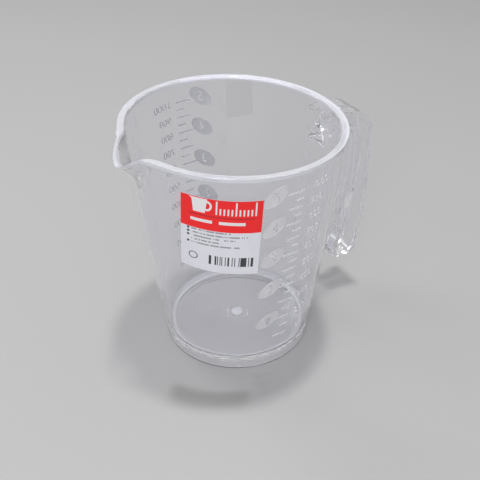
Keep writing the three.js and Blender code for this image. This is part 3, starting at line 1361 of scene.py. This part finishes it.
    def flat_ovals(self) -> bpy.types.Mesh:
        """Every numbered oval of one scale, laid flat."""
        turn = math.radians(self.oval_line_angle - self.line_angle)
        ovals = []
        for volume in range(self.oval_step, self.last_volume + 1, self.oval_step):
            oval = self.oval(volume // self.oval_step)
            height = self.bowl.height_of_volume(volume) + self.oval_rise
            aside = turn * self.bowl.outer_radius(height)
            oval.transform(Matrix.Translation((self.relief / 2, aside, height)))
            ovals.append(oval)
        return gathered("flat_ovals", ovals)

    def build(self, finish: FrostedRelief, faint: FaintRelief) -> list[bpy.types.Object]:
        """Makes and dresses both scales.

        Args:
            finish: The frosted plastic of bars and figures.
            faint: The frosted plastic of the ovals.

        Returns:
            The pieces.
        """
        material = finish.material()
        bars = {
            "Bar Width": self.bar_width,
            "Relief": self.relief,
            "Draft": self.bar_draft,
            **self.wall_sizes(material),
        }
        meshes = [
            grow("scale_bars", self.bar_points(), self.bar_tree(), bars),
            grow("scale_figures", self.flat_figures(), self.figure_tree(), self.wall_sizes(material)),
            grow("scale_ovals", self.flat_ovals(), self.figure_tree(), self.wall_sizes(faint.material())),
        ]
        pieces = []
        for mesh in meshes:
            piece = add_object(mesh.name, shade_smooth(face_outward(mesh), self.crease))
            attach(piece, BODY)
            pieces.append(piece)
        return pieces


@dataclass
class Label:
    """The paper label, a flat sheet wrapped round the tapered wall without stretching it."""

    bowl: Bowl
    width: float = 42.5 * MM
    height: float = 50.0 * MM
    thickness: float = 0.1 * MM
    clearance: float = 0.05 * MM
    angle: float = -129.5
    middle_drop: float = 36.8 * MM
    turn: float = -4.3
    columns: int = 44
    rows: int = 52
    crease: float = 40.0

    def on_wall(self, across: float, up: float, proud: float) -> Vector:
        """Where a point of the flat sheet lies on the wall.

        Args:
            across: Distance right of the sheet's middle.
            up: Distance above the sheet's middle.
            proud: Distance out of the wall.

        Returns:
            The point in the part's frame.
        """
        turn = math.radians(self.turn)
        level_across = across * math.cos(turn) - up * math.sin(turn)
        level_up = across * math.sin(turn) + up * math.cos(turn)
        middle_height = self.bowl.rim_height - self.middle_drop
        taper = math.atan(self.bowl.wall_slope(middle_height))
        slant = self.bowl.outer_radius(middle_height) / math.sin(taper)
        distance = math.hypot(level_across, slant + level_up)
        angle = math.radians(self.angle) + math.atan2(level_across, slant + level_up) / math.sin(taper)
        height = middle_height + (distance - slant) * math.cos(taper)
        radius = self.bowl.outer_radius(height) + proud
        return Vector((self.bowl.axis_x + radius * math.cos(angle), radius * math.sin(angle), height))

    def side(self, work: bmesh.types.BMesh, proud: float) -> list[list[bmesh.types.BMVert]]:
        """Adds the points of one side of the sheet.

        Args:
            work: The mesh in the making.
            proud: Distance of the side out of the wall.

        Returns:
            The points, row by row from the lower edge.
        """
        made = []
        for up in stretch(-self.height / 2, self.height / 2, self.rows):
            places = stretch(-self.width / 2, self.width / 2, self.columns)
            made.append([work.verts.new(self.on_wall(across, up, proud)) for across in places])
        return made

    def border(self) -> list[tuple[int, int]]:
        """Row and column of each point round the sheet's edge."""
        made = [(0, column) for column in range(self.columns)]
        made += [(row, self.columns) for row in range(self.rows)]
        made += [(self.rows, column) for column in range(self.columns, 0, -1)]
        made += [(row, 0) for row in range(self.rows, 0, -1)]
        return made

    def mesh(self) -> bpy.types.Mesh:
        """The sheet with its print map. Slot 0 is its face, and slot 1 its back and its edges."""
        work = bmesh.new()
        layer = work.loops.layers.uv.new("label_print")
        front = self.side(work, self.clearance + self.thickness)
        back = self.side(work, self.clearance)
        shares = {}
        for sheet in (front, back):
            for row, line in enumerate(sheet):
                for column, vertex in enumerate(line):
                    shares[vertex] = (column / self.columns, row / self.rows)
        faces = []
        for row in range(self.rows):
            for column in range(self.columns):
                corners = ((row, column), (row, column + 1), (row + 1, column + 1), (row + 1, column))
                faces.append((work.faces.new([front[r][c] for r, c in corners]), 0))
                faces.append((work.faces.new([back[r][c] for r, c in reversed(corners)]), 1))
        border = self.border()
        for (r0, c0), (r1, c1) in zip(border, border[1:] + border[:1]):
            rim = (front[r1][c1], front[r0][c0], back[r0][c0], back[r1][c1])
            faces.append((work.faces.new(rim), 1))
        for face, slot in faces:
            face.material_index = slot
            for loop in face.loops:
                loop[layer].uv = shares[loop.vert]
        bmesh.ops.recalc_face_normals(work, faces=work.faces)
        made = bpy.data.meshes.new("label_sheet")
        work.to_mesh(made)
        work.free()
        return made

    def build(self, finish: LabelPaper) -> bpy.types.Object:
        """Makes and dresses the label.

        Args:
            finish: The printed paper.

        Returns:
            The piece.
        """
        mesh = self.mesh()
        mesh.materials.append(finish.printed(self.width / MM, self.height / MM))
        mesh.materials.append(finish.plain())
        piece = add_object("label_sheet", shade_smooth(mesh, self.crease))
        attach(piece, BODY)
        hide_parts("label")
        return piece


class ShaderTree(NodeTree):
    """The node tree of one material, world or shader group."""

    def noise(self, vector: object, scale: object, detail: float = 2.0) -> Field:
        """Adds a noise texture.

        Args:
            vector: Where it is read.
            scale: Its scale.
            detail: Its detail.

        Returns:
            The noise, from zero to one.
        """
        node = self.node("ShaderNodeTexNoise")
        self.feed(node.inputs["Vector"], vector)
        self.feed(node.inputs["Scale"], scale)
        node.inputs["Detail"].default_value = detail
        return self.field(node.outputs[0])

    def mix(self, share: Field, low: object, high: object) -> bpy.types.NodeSocket:
        """Blends two colours.

        Args:
            share: Zero gives the first colour, one the second.
            low: The first colour.
            high: The second colour.

        Returns:
            The blended colour.
        """
        node = self.node("ShaderNodeMix", data_type="RGBA")
        self.feed(node.inputs["Factor"], share)
        self.feed(node.inputs["A"], low)
        self.feed(node.inputs["B"], high)
        return next(output for output in node.outputs if output.type == "RGBA")

    def choose(self, share: object, first: object, second: object) -> bpy.types.NodeSocket:
        """Goes from one shader to another.

        Args:
            share: Zero gives the first shader, one the second.
            first: The first shader's output.
            second: The second shader's output.

        Returns:
            The chosen shader's output.
        """
        node = self.node("ShaderNodeMixShader")
        for socket, value in zip(node.inputs, (share, first, second)):
            self.feed(socket, value)
        return node.outputs[0]


def new_group(
    name: str,
    inputs: Sequence[str],
    outputs: Sequence[str],
) -> tuple[ShaderTree, dict[str, Field], bpy.types.Node]:
    """Starts a shader node group whose inputs are a vector and numbers.

    Args:
        name: The group's name.
        inputs: Names of the number inputs. A Vector comes first.
        outputs: Names of the number outputs.

    Returns:
        The tree, its inputs by name, and the output node.
    """
    tree = bpy.data.node_groups.new(name, "ShaderNodeTree")
    tree.interface.new_socket("Vector", in_out="INPUT", socket_type="NodeSocketVector")
    for side, names in (("INPUT", inputs), ("OUTPUT", outputs)):
        for socket in names:
            tree.interface.new_socket(socket, in_out=side, socket_type="NodeSocketFloat")
    inlet = tree.nodes.new("NodeGroupInput")
    outlet = tree.nodes.new("NodeGroupOutput")
    named = {socket: Field(tree, inlet.outputs[socket]) for socket in ("Vector", *inputs)}
    return ShaderTree(tree), named, outlet


def moulded_surface() -> bpy.types.NodeTree:
    """The shared look of a moulded skin: slow flow ripples, and fine wear that dulls it in places."""
    found = bpy.data.node_groups.get("moulded_surface")
    if found:
        return found
    shader, given, outlet = new_group(
        "moulded_surface",
        ("Ripple Scale", "Wear Scale", "Roughness", "Wear Roughness"),
        ("Roughness", "Height"),
    )
    vector = given["Vector"].socket
    ripple = shader.noise(vector, given["Ripple Scale"].socket, RIPPLE_DETAIL)
    wear = shader.noise(vector, given["Wear Scale"].socket, WEAR_DETAIL)
    worn = wear.ease(*WORN_FROM_TO)
    shader.feed(outlet.inputs["Roughness"], given["Roughness"] + worn * given["Wear Roughness"])
    shader.feed(outlet.inputs["Height"], ripple + wear * WEAR_HEIGHT)
    return shader.tree


def new_material(name: str) -> tuple[bpy.types.Material, ShaderTree, bpy.types.Node, bpy.types.Node]:
    """Starts a material with one Principled shader.

    Args:
        name: The material's name.

    Returns:
        The material, its tree, the shader and the output node.
    """
    material = bpy.data.materials.new(name)
    material.use_nodes = True
    material.node_tree.nodes.clear()
    shader = ShaderTree(material.node_tree)
    surface = shader.node("ShaderNodeBsdfPrincipled")
    outlet = shader.node("ShaderNodeOutputMaterial")
    shader.feed(outlet.inputs["Surface"], surface.outputs[0])
    return material, shader, surface, outlet


def set_values(surface: bpy.types.Node, values: dict[str, object]) -> None:
    """Sets plain values on a shader's own sockets."""
    for name, value in values.items():
        surface.inputs[name].default_value = value


@dataclass(frozen=True)
class MouldedPlastic:
    """What the clear and the frosted plastic share."""

    name: str
    tint: Colour
    deep_tint: Colour
    roughness: float
    wear_roughness: float
    ripple_scale: float
    wear_scale: float
    ripple_depth: float
    transmission: float
    shadow_tint: Colour
    edge_shadow: Colour
    ior: float = 1.53
    caught_depth: float = 9.5

    def material(self) -> bpy.types.Material:
        """Builds the material. Light caught in the wall leaves it straight after some bounces."""
        material, shader, surface, outlet = new_material(self.name)
        place = shader.node("ShaderNodeTexCoord").outputs["Object"]
        skin = shader.node("ShaderNodeGroup", node_tree=moulded_surface())
        shader.feed(skin.inputs["Vector"], place)
        shader.feed(skin.inputs["Ripple Scale"], self.ripple_scale)
        shader.feed(skin.inputs["Wear Scale"], self.wear_scale)
        shader.feed(skin.inputs["Roughness"], self.roughness)
        shader.feed(skin.inputs["Wear Roughness"], self.wear_roughness)
        cloud = shader.noise(place, self.ripple_scale / 2, RIPPLE_DETAIL)
        shader.feed(surface.inputs["Base Color"], shader.mix(cloud, self.tint, self.deep_tint))
        shader.feed(surface.inputs["Roughness"], skin.outputs["Roughness"])
        bump = shader.node("ShaderNodeBump")
        bump.inputs["Strength"].default_value = 1.0
        bump.inputs["Distance"].default_value = self.ripple_depth
        shader.feed(bump.inputs["Height"], skin.outputs["Height"])
        shader.feed(surface.inputs["Normal"], bump.outputs[0])
        set_values(surface, {"Metallic": 0.0, "Transmission Weight": self.transmission, "IOR": self.ior})
        steep = shader.field(shader.node("ShaderNodeLayerWeight").outputs["Facing"])
        clear = shader.node("ShaderNodeBsdfTransparent")
        shader.feed(clear.inputs["Color"], shader.mix(steep * steep, self.shadow_tint, self.edge_shadow))
        path = shader.node("ShaderNodeLightPath")
        shaded = shader.choose(path.outputs["Is Shadow Ray"], surface.outputs[0], clear.outputs[0])
        caught = shader.field(path.outputs["Ray Depth"]) > self.caught_depth
        way_out = shader.node("ShaderNodeBsdfTransparent")
        shader.feed(outlet.inputs["Surface"], shader.choose(caught, shaded, way_out.outputs[0]))
        return material


@dataclass(frozen=True)
class ClearPlastic(MouldedPlastic):
    """The clear moulding's polished plastic."""

    name: str = "clear_plastic"
    tint: Colour = (0.98, 0.98, 1.0, 1.0)
    deep_tint: Colour = (0.965, 0.965, 0.995, 1.0)
    roughness: float = 0.015
    wear_roughness: float = 0.06
    ripple_scale: float = 55.0
    wear_scale: float = 420.0
    ripple_depth: float = 0.004 * MM
    transmission: float = 0.97
    shadow_tint: Colour = (0.94, 0.94, 0.95, 1.0)
    edge_shadow: Colour = (0.5, 0.5, 0.52, 1.0)


@dataclass(frozen=True)
class ThickPlastic(ClearPlastic):
    """A lighter, more scattering copy of the clear plastic, put on the rim bead, the gate's spot and the
    floor's corner as painted glow and highlights.
    """

    name: str = "glow_painted_plastic"
    # The pale lilac tint and low transmission paint glow and highlights onto these faces.
    tint: Colour = (0.93, 0.93, 1.0, 1.0)
    deep_tint: Colour = (0.9, 0.9, 0.98, 1.0)
    transmission: float = 0.52


@dataclass(frozen=True)
class FrostedRelief(MouldedPlastic):
    """The raised scales, etched in the mould so that they scatter light."""

    name: str = "frosted_relief"
    tint: Colour = (0.95, 0.95, 0.97, 1.0)
    deep_tint: Colour = (0.9, 0.9, 0.93, 1.0)
    roughness: float = 0.5
    wear_roughness: float = 0.15
    ripple_scale: float = 900.0
    wear_scale: float = 2600.0
    ripple_depth: float = 0.02 * MM
    transmission: float = 0.4
    shadow_tint: Colour = (0.85, 0.85, 0.87, 1.0)
    edge_shadow: Colour = (0.6, 0.6, 0.62, 1.0)


@dataclass(frozen=True)
class FaintRelief(FrostedRelief):
    """The ovals of the scales, more lightly etched."""

    name: str = "faint_relief"
    transmission: float = 0.6


@dataclass(frozen=True)
class Patch:
    """An upright rectangle of the label's print, in millimetres from its lower left corner."""

    left: float
    right: float
    low: float
    high: float

    def mask(self, across: Field, up: Field) -> Field:
        """One inside the rectangle, else zero."""
        return across.between(self.left, self.right) * up.between(self.low, self.high)


@dataclass(frozen=True)
class Ring:
    """An oval ring of the label's print, in millimetres from its lower left corner."""

    across: float
    up: float
    half_width: float
    half_height: float
    hole: float

    def mask(self, across: Field, up: Field) -> Field:
        """One on the ring, else zero."""
        beside = (across - self.across) / self.half_width
        above = (up - self.up) / self.half_height
        return (beside * beside + above * above).between(self.hole, 1.0)


@dataclass(frozen=True)
class LabelPaper:
    """Coated label paper with a red header and a plain generic print. Sizes in millimetres."""

    paper: Colour = (0.86, 0.87, 0.93, 1.0)
    shade: Colour = (0.8, 0.81, 0.88, 1.0)
    red: Colour = (1.0, 0.012, 0.014, 1.0)
    dark_red: Colour = (0.42, 0.012, 0.02, 1.0)
    white: Colour = (0.9, 0.88, 0.9, 1.0)
    ink: Colour = (0.05, 0.05, 0.065, 1.0)
    roughness: float = 0.42
    fibre_roughness: float = 0.12
    fibre_depth: float = 0.01
    fibre_scale: float = 1400.0
    fibre_detail: float = 4.0
    cloud_scale: float = 160.0
    header_height: float = 20.7
    rule: Patch = Patch(4.5, 38.5, 38.4, 39.0)
    jug_middle: float = 10.0
    jug_low: float = 40.5
    jug_high: float = 49.5
    jug_half_width: float = 3.1
    jug_lean: float = 0.12
    jug_loop: Ring = Ring(14.0, 45.2, 2.6, 3.3, 0.35)
    loop_start: float = 13.4
    spout: Patch = Patch(4.6, 8.0, 47.2, 49.5)
    spout_slope: float = 1.1
    ticks: Patch = Patch(18.4, 39.6, 40.5, 44.6)
    first_tick: float = 19.0
    tick_pitch: float = 2.0
    tick_half_share: float = 0.21
    long_tick: float = 4.4
    long_tick_every: float = 5.0
    strips: tuple[Patch, ...] = (Patch(5.5, 17.0, 34.2, 36.2), Patch(20.5, 34.0, 34.2, 36.2))
    rows_top: float = 29.6
    row_count: int = 5
    row_height: float = 2.35
    dash_left: float = 6.0
    dash_right: float = 38.0
    dash_low: float = 0.3
    dash_high: float = 0.72
    dash_rate: float = 1.9
    dash_gaps: float = 0.3
    dash_strength: float = 0.6
    ragged_start: float = 11.0
    ragged_step: float = 7.3
    ragged_range: float = 17.0
    dot_across: float = 4.3
    dot_radius: float = 0.75
    row_without_dot: float = 3.0
    bars_patch: Patch = Patch(15.5, 39.5, 5.5, 12.0)
    bar_rate: float = 2.2
    bar_gaps: float = 0.5
    ring: Ring = Ring(7.2, 9.4, 2.6, 2.6, 0.62)

    def base(
        self,
        name: str,
    ) -> tuple[bpy.types.Material, ShaderTree, bpy.types.Node, bpy.types.NodeSocket]:
        """Starts a paper material with its fibres.

        Args:
            name: The material's name.

        Returns:
            The material, its tree, its shader and the bare paper's colour.
        """
        material, shader, surface, _ = new_material(name)
        place = shader.node("ShaderNodeTexCoord").outputs["Object"]
        fibre = shader.noise(place, self.fibre_scale, self.fibre_detail)
        cloud = shader.noise(place, self.cloud_scale)
        shader.feed(surface.inputs["Roughness"], self.roughness + fibre * self.fibre_roughness)
        bump = shader.node("ShaderNodeBump")
        bump.inputs["Distance"].default_value = self.fibre_depth * MM
        shader.feed(bump.inputs["Height"], fibre)
        shader.feed(surface.inputs["Normal"], bump.outputs[0])
        return material, shader, surface, shader.mix(cloud, self.paper, self.shade)

    def plain(self) -> bpy.types.Material:
        """The label's glued side and its cut edges."""
        material, shader, surface, colour = self.base("label_back")
        shader.feed(surface.inputs["Base Color"], colour)
        return material

    def printed(self, width: float, height: float) -> bpy.types.Material:
        """The label's face.

        Args:
            width: Width of the sheet.
            height: Height of the sheet.

        Returns:
            The material.
        """
        material, shader, surface, colour = self.base("label_print")
        print_map = shader.node("ShaderNodeUVMap", uv_map="label_print")
        share_across, share_up, _ = shader.parts_of(print_map.outputs[0])
        across = share_across * width
        up = share_up * height
        colour = shader.mix(up > height - self.header_height, colour, self.red)
        colour = shader.mix(self.rule.mask(across, up), colour, self.dark_red)
        colour = shader.mix(self.header_motif(across, up), colour, self.white)
        colour = shader.mix(self.dash_rows(shader, across, up), colour, self.ink)
        colour = shader.mix(self.bars(shader, across, up), colour, self.ink)
        shader.feed(surface.inputs["Base Color"], colour)
        return material

    def header_motif(self, across: Field, up: Field) -> Field:
        """A jug in plain outline, a row of scale ticks and a pair of short bars, all in white.

        Args:
            across: Distance from the label's left edge.
            up: Distance from its lower edge.

        Returns:
            The mask of what is white.
        """
        half_width = self.jug_half_width + (up - self.jug_low) * self.jug_lean
        from_middle = (across - self.jug_middle).size()
        jug = up.between(self.jug_low, self.jug_high) * from_middle.between(0.0, half_width)
        under_spout = (self.spout.high - up) * self.spout_slope
        spout = self.spout.mask(across, up) * (across - self.spout.left > under_spout)
        loop = self.jug_loop.mask(across, up) * (across > self.loop_start)
        step = (across - self.first_tick) / self.tick_pitch
        nearest = (step + 0.5).floor()
        on_tick = (step - nearest).size() < self.tick_half_share
        is_long = (nearest % self.long_tick_every) < 0.5
        tick_top = self.ticks.high + is_long * self.long_tick
        ticks = on_tick * up.between(self.ticks.low, tick_top)
        ticks = ticks * across.between(self.ticks.left, self.ticks.right)
        white = jug + spout + loop + ticks
        for strip in self.strips:
            white = white + strip.mask(across, up)
        return white.share()

    def dash_rows(self, shader: ShaderTree, across: Field, up: Field) -> Field:
        """Rows of grey dashes, with round dots before most of them.

        Args:
            shader: The material's tree.
            across: Distance from the label's left edge.
            up: Distance from its lower edge.

        Returns:
            The mask of what is inked.
        """
        down = (self.rows_top - up) / self.row_height
        row = down.floor()
        level = down - row
        inside = down.between(0.0, float(self.row_count))
        strokes = shader.node("ShaderNodeTexWhiteNoise", noise_dimensions="2D")
        shader.feed(strokes.inputs["Vector"], shader.vector((across * self.dash_rate).floor(), row, 0.0))
        inked = shader.field(strokes.outputs["Value"]) > self.dash_gaps
        end = self.dash_right - (row * self.ragged_step + self.ragged_start) % self.ragged_range
        dashes = inked * level.between(self.dash_low, self.dash_high) * across.between(self.dash_left, end)
        dot_across = (across - self.dot_across) / self.dot_radius
        dot_up = (level - 0.5) * self.row_height / self.dot_radius
        dots = (dot_across * dot_across + dot_up * dot_up) < 1.0
        dots = dots * (1.0 - row.between(self.row_without_dot - 0.5, self.row_without_dot + 0.5))
        return (inside * (dashes * self.dash_strength + dots)).share()

    def bars(self, shader: ShaderTree, across: Field, up: Field) -> Field:
        """Upright bars of mixed widths, and a plain ring beside them.

        Args:
            shader: The material's tree.
            across: Distance from the label's left edge.
            up: Distance from its lower edge.

        Returns:
            The mask of what is inked.
        """
        pick = shader.node("ShaderNodeTexWhiteNoise", noise_dimensions="1D")
        shader.feed(pick.inputs["W"], (across * self.bar_rate).floor())
        inked = shader.field(pick.outputs["Value"]) > self.bar_gaps
        return (inked * self.bars_patch.mask(across, up) + self.ring.mask(across, up)).share()


@dataclass(frozen=True)
class Lamp:
    """One soft lamp. Metres and watts."""

    name: str
    place: tuple[float, float, float]
    width: float
    height: float
    power: float

    def build(self, aim: Vector) -> None:
        """Adds the lamp.

        Args:
            aim: What it points at.
        """
        light = bpy.data.lights.new(self.name, "AREA")
        light.shape = "RECTANGLE"
        light.size = self.width
        light.size_y = self.height
        light.energy = self.power
        made = bpy.data.objects.new(self.name, light)
        made.location = self.place
        made.rotation_euler = (aim - Vector(self.place)).to_track_quat("-Z", "Y").to_euler()
        bpy.context.scene.collection.objects.link(made)


@dataclass
class Studio:
    """The plain pale floor, the soft lamps and the surroundings."""

    floor_colour: Colour = (0.48, 0.48, 0.484, 1.0)
    floor_side: float = 12.0
    floor_roughness: float = 0.6
    cloud_shade: float = 0.97
    cloud_scale: float = 3.0
    cloud_detail: float = 3.0
    seen_colour: Colour = (0.54, 0.54, 0.55, 1.0)
    ambient_colour: Colour = (1.0, 1.0, 1.0, 1.0)
    ambient: float = 0.27
    light_bounces: int = 32
    lamps: tuple[Lamp, ...] = (
        Lamp("top_lamp", (0.13, 0.03, 1.5), 0.1, 0.1, 11.0),
        Lamp("key_lamp", (-0.8, -0.9, 0.75), 0.6, 0.6, 8.0),
        Lamp("back_lamp", (-0.35, 0.8, 0.95), 0.5, 0.3, 3.5),
    )

    def floor(self) -> None:
        """The floor, with faint clouds in its colour."""
        half = self.floor_side / 2
        corners = [(-half, -half, 0.0), (half, -half, 0.0), (half, half, 0.0), (-half, half, 0.0)]
        mesh = bpy.data.meshes.new("studio_floor")
        mesh.from_pydata(corners, [], [(0, 1, 2, 3)])
        material, shader, surface, _ = new_material("studio_floor")
        place = shader.node("ShaderNodeTexCoord").outputs["Object"]
        cloud = shader.noise(place, self.cloud_scale, self.cloud_detail)
        dark = tuple(channel * self.cloud_shade for channel in self.floor_colour[:3]) + (1.0,)
        shader.feed(surface.inputs["Base Color"], shader.mix(cloud, dark, self.floor_colour))
        set_values(surface, {"Roughness": self.floor_roughness})
        mesh.materials.append(material)
        add_object("studio_floor", mesh)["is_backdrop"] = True

    def surroundings(self) -> None:
        """A plain world: seen pale, and lighting the object softly."""
        world = bpy.data.worlds.new("studio_world")
        world.use_nodes = True
        shader = ShaderTree(world.node_tree)
        world.node_tree.nodes.clear()
        lit = shader.node("ShaderNodeBackground")
        set_values(lit, {"Color": self.ambient_colour, "Strength": self.ambient})
        seen = shader.node("ShaderNodeBackground")
        set_values(seen, {"Color": self.seen_colour})
        path = shader.node("ShaderNodeLightPath")
        eye = shader.field(path.outputs["Is Camera Ray"])
        mirrored = shader.field(path.outputs["Is Glossy Ray"])
        through = shader.field(path.outputs["Is Transmission Ray"])
        outlet = shader.node("ShaderNodeOutputWorld")
        is_seen = eye.most(mirrored).most(through)
        shader.feed(outlet.inputs["Surface"], shader.choose(is_seen, lit.outputs[0], seen.outputs[0]))
        bpy.context.scene.world = world

    def build(self, aim: Vector) -> None:
        """Sets up the studio.

        Args:
            aim: The middle of the object.
        """
        self.floor()
        self.surroundings()
        for lamp in self.lamps:
            lamp.build(aim)
        cycles = bpy.context.scene.cycles
        cycles.caustics_refractive = False
        cycles.max_bounces = self.light_bounces
        cycles.transmission_bounces = self.light_bounces
        cycles.glossy_bounces = self.light_bounces
        cycles.transparent_max_bounces = self.light_bounces


@dataclass
class PhotoCamera:
    """The camera at the photograph's place. Metres, degrees and the photograph's pixels."""

    axis_x: float
    handle_turn: float = 31.3
    distance: float = 393.95 * MM
    height: float = 352.9 * MM
    pitch: float = 36.357
    yaw: float = 0.357
    roll: float = 0.72
    focal_pixels: float = 813.13
    nearest: float = 10.0 * MM

    def build(self) -> bpy.types.Object:
        """Adds the camera and makes it the scene's own."""
        data = bpy.data.cameras.new("photo_camera")
        data.sensor_width = SENSOR_WIDTH
        data.lens = self.focal_pixels / PHOTO_SIDE * SENSOR_WIDTH
        data.clip_start = self.nearest
        pitch, yaw, roll = (math.radians(angle) for angle in (self.pitch, self.yaw, self.roll))
        ahead = math.cos(pitch)
        forward = Vector((math.sin(yaw) * ahead, math.cos(yaw) * ahead, -math.sin(pitch)))
        level = Vector((math.cos(yaw), -math.sin(yaw), 0.0))
        down = forward.cross(level)
        right = math.cos(roll) * level + math.sin(roll) * down
        up = math.sin(roll) * level - math.cos(roll) * down
        turned = Matrix((right, up, -forward)).transposed().to_4x4()
        turned.translation = Vector((0.0, -self.distance, self.height))
        around = Matrix.Rotation(-math.radians(self.handle_turn), 4, "Z")
        made = bpy.data.objects.new("photo_camera", data)
        made.matrix_world = Matrix.Translation((self.axis_x, 0.0, 0.0)) @ around @ turned
        bpy.context.scene.collection.objects.link(made)
        bpy.context.scene.camera = made
        return made


def bowl_axis() -> float:
    """Where the bowl's axis stands along X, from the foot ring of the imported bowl."""
    foot = [v.co.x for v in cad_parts["cup_body"].data.vertices if v.co.z < FOOT_SLICE]
    return (min(foot) + max(foot)) / 2


def main() -> None:
    """Builds the cup, the studio and the camera."""
    logging.basicConfig(level=logging.INFO, format="%(name)s: %(message)s")
    solid_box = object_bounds()
    bpy.context.scene.view_settings.view_transform = "Standard"
    axis_x = bowl_axis()
    PhotoCamera(axis_x).build()
    bowl = Bowl(axis_x)
    pieces = [Moulding(bowl, Handle(bowl)).build(ClearPlastic(), ThickPlastic())]
    pieces += Scales(bowl).build(FrostedRelief(), FaintRelief())
    pieces.append(Label(bowl).build(LabelPaper()))
    Studio().build(aim=(solid_box[0] + solid_box[1]) / 2)
    for piece in pieces:
        log.info("%s: %d faces", piece.name, len(piece.data.polygons))


if __name__ == "__main__":
    main()
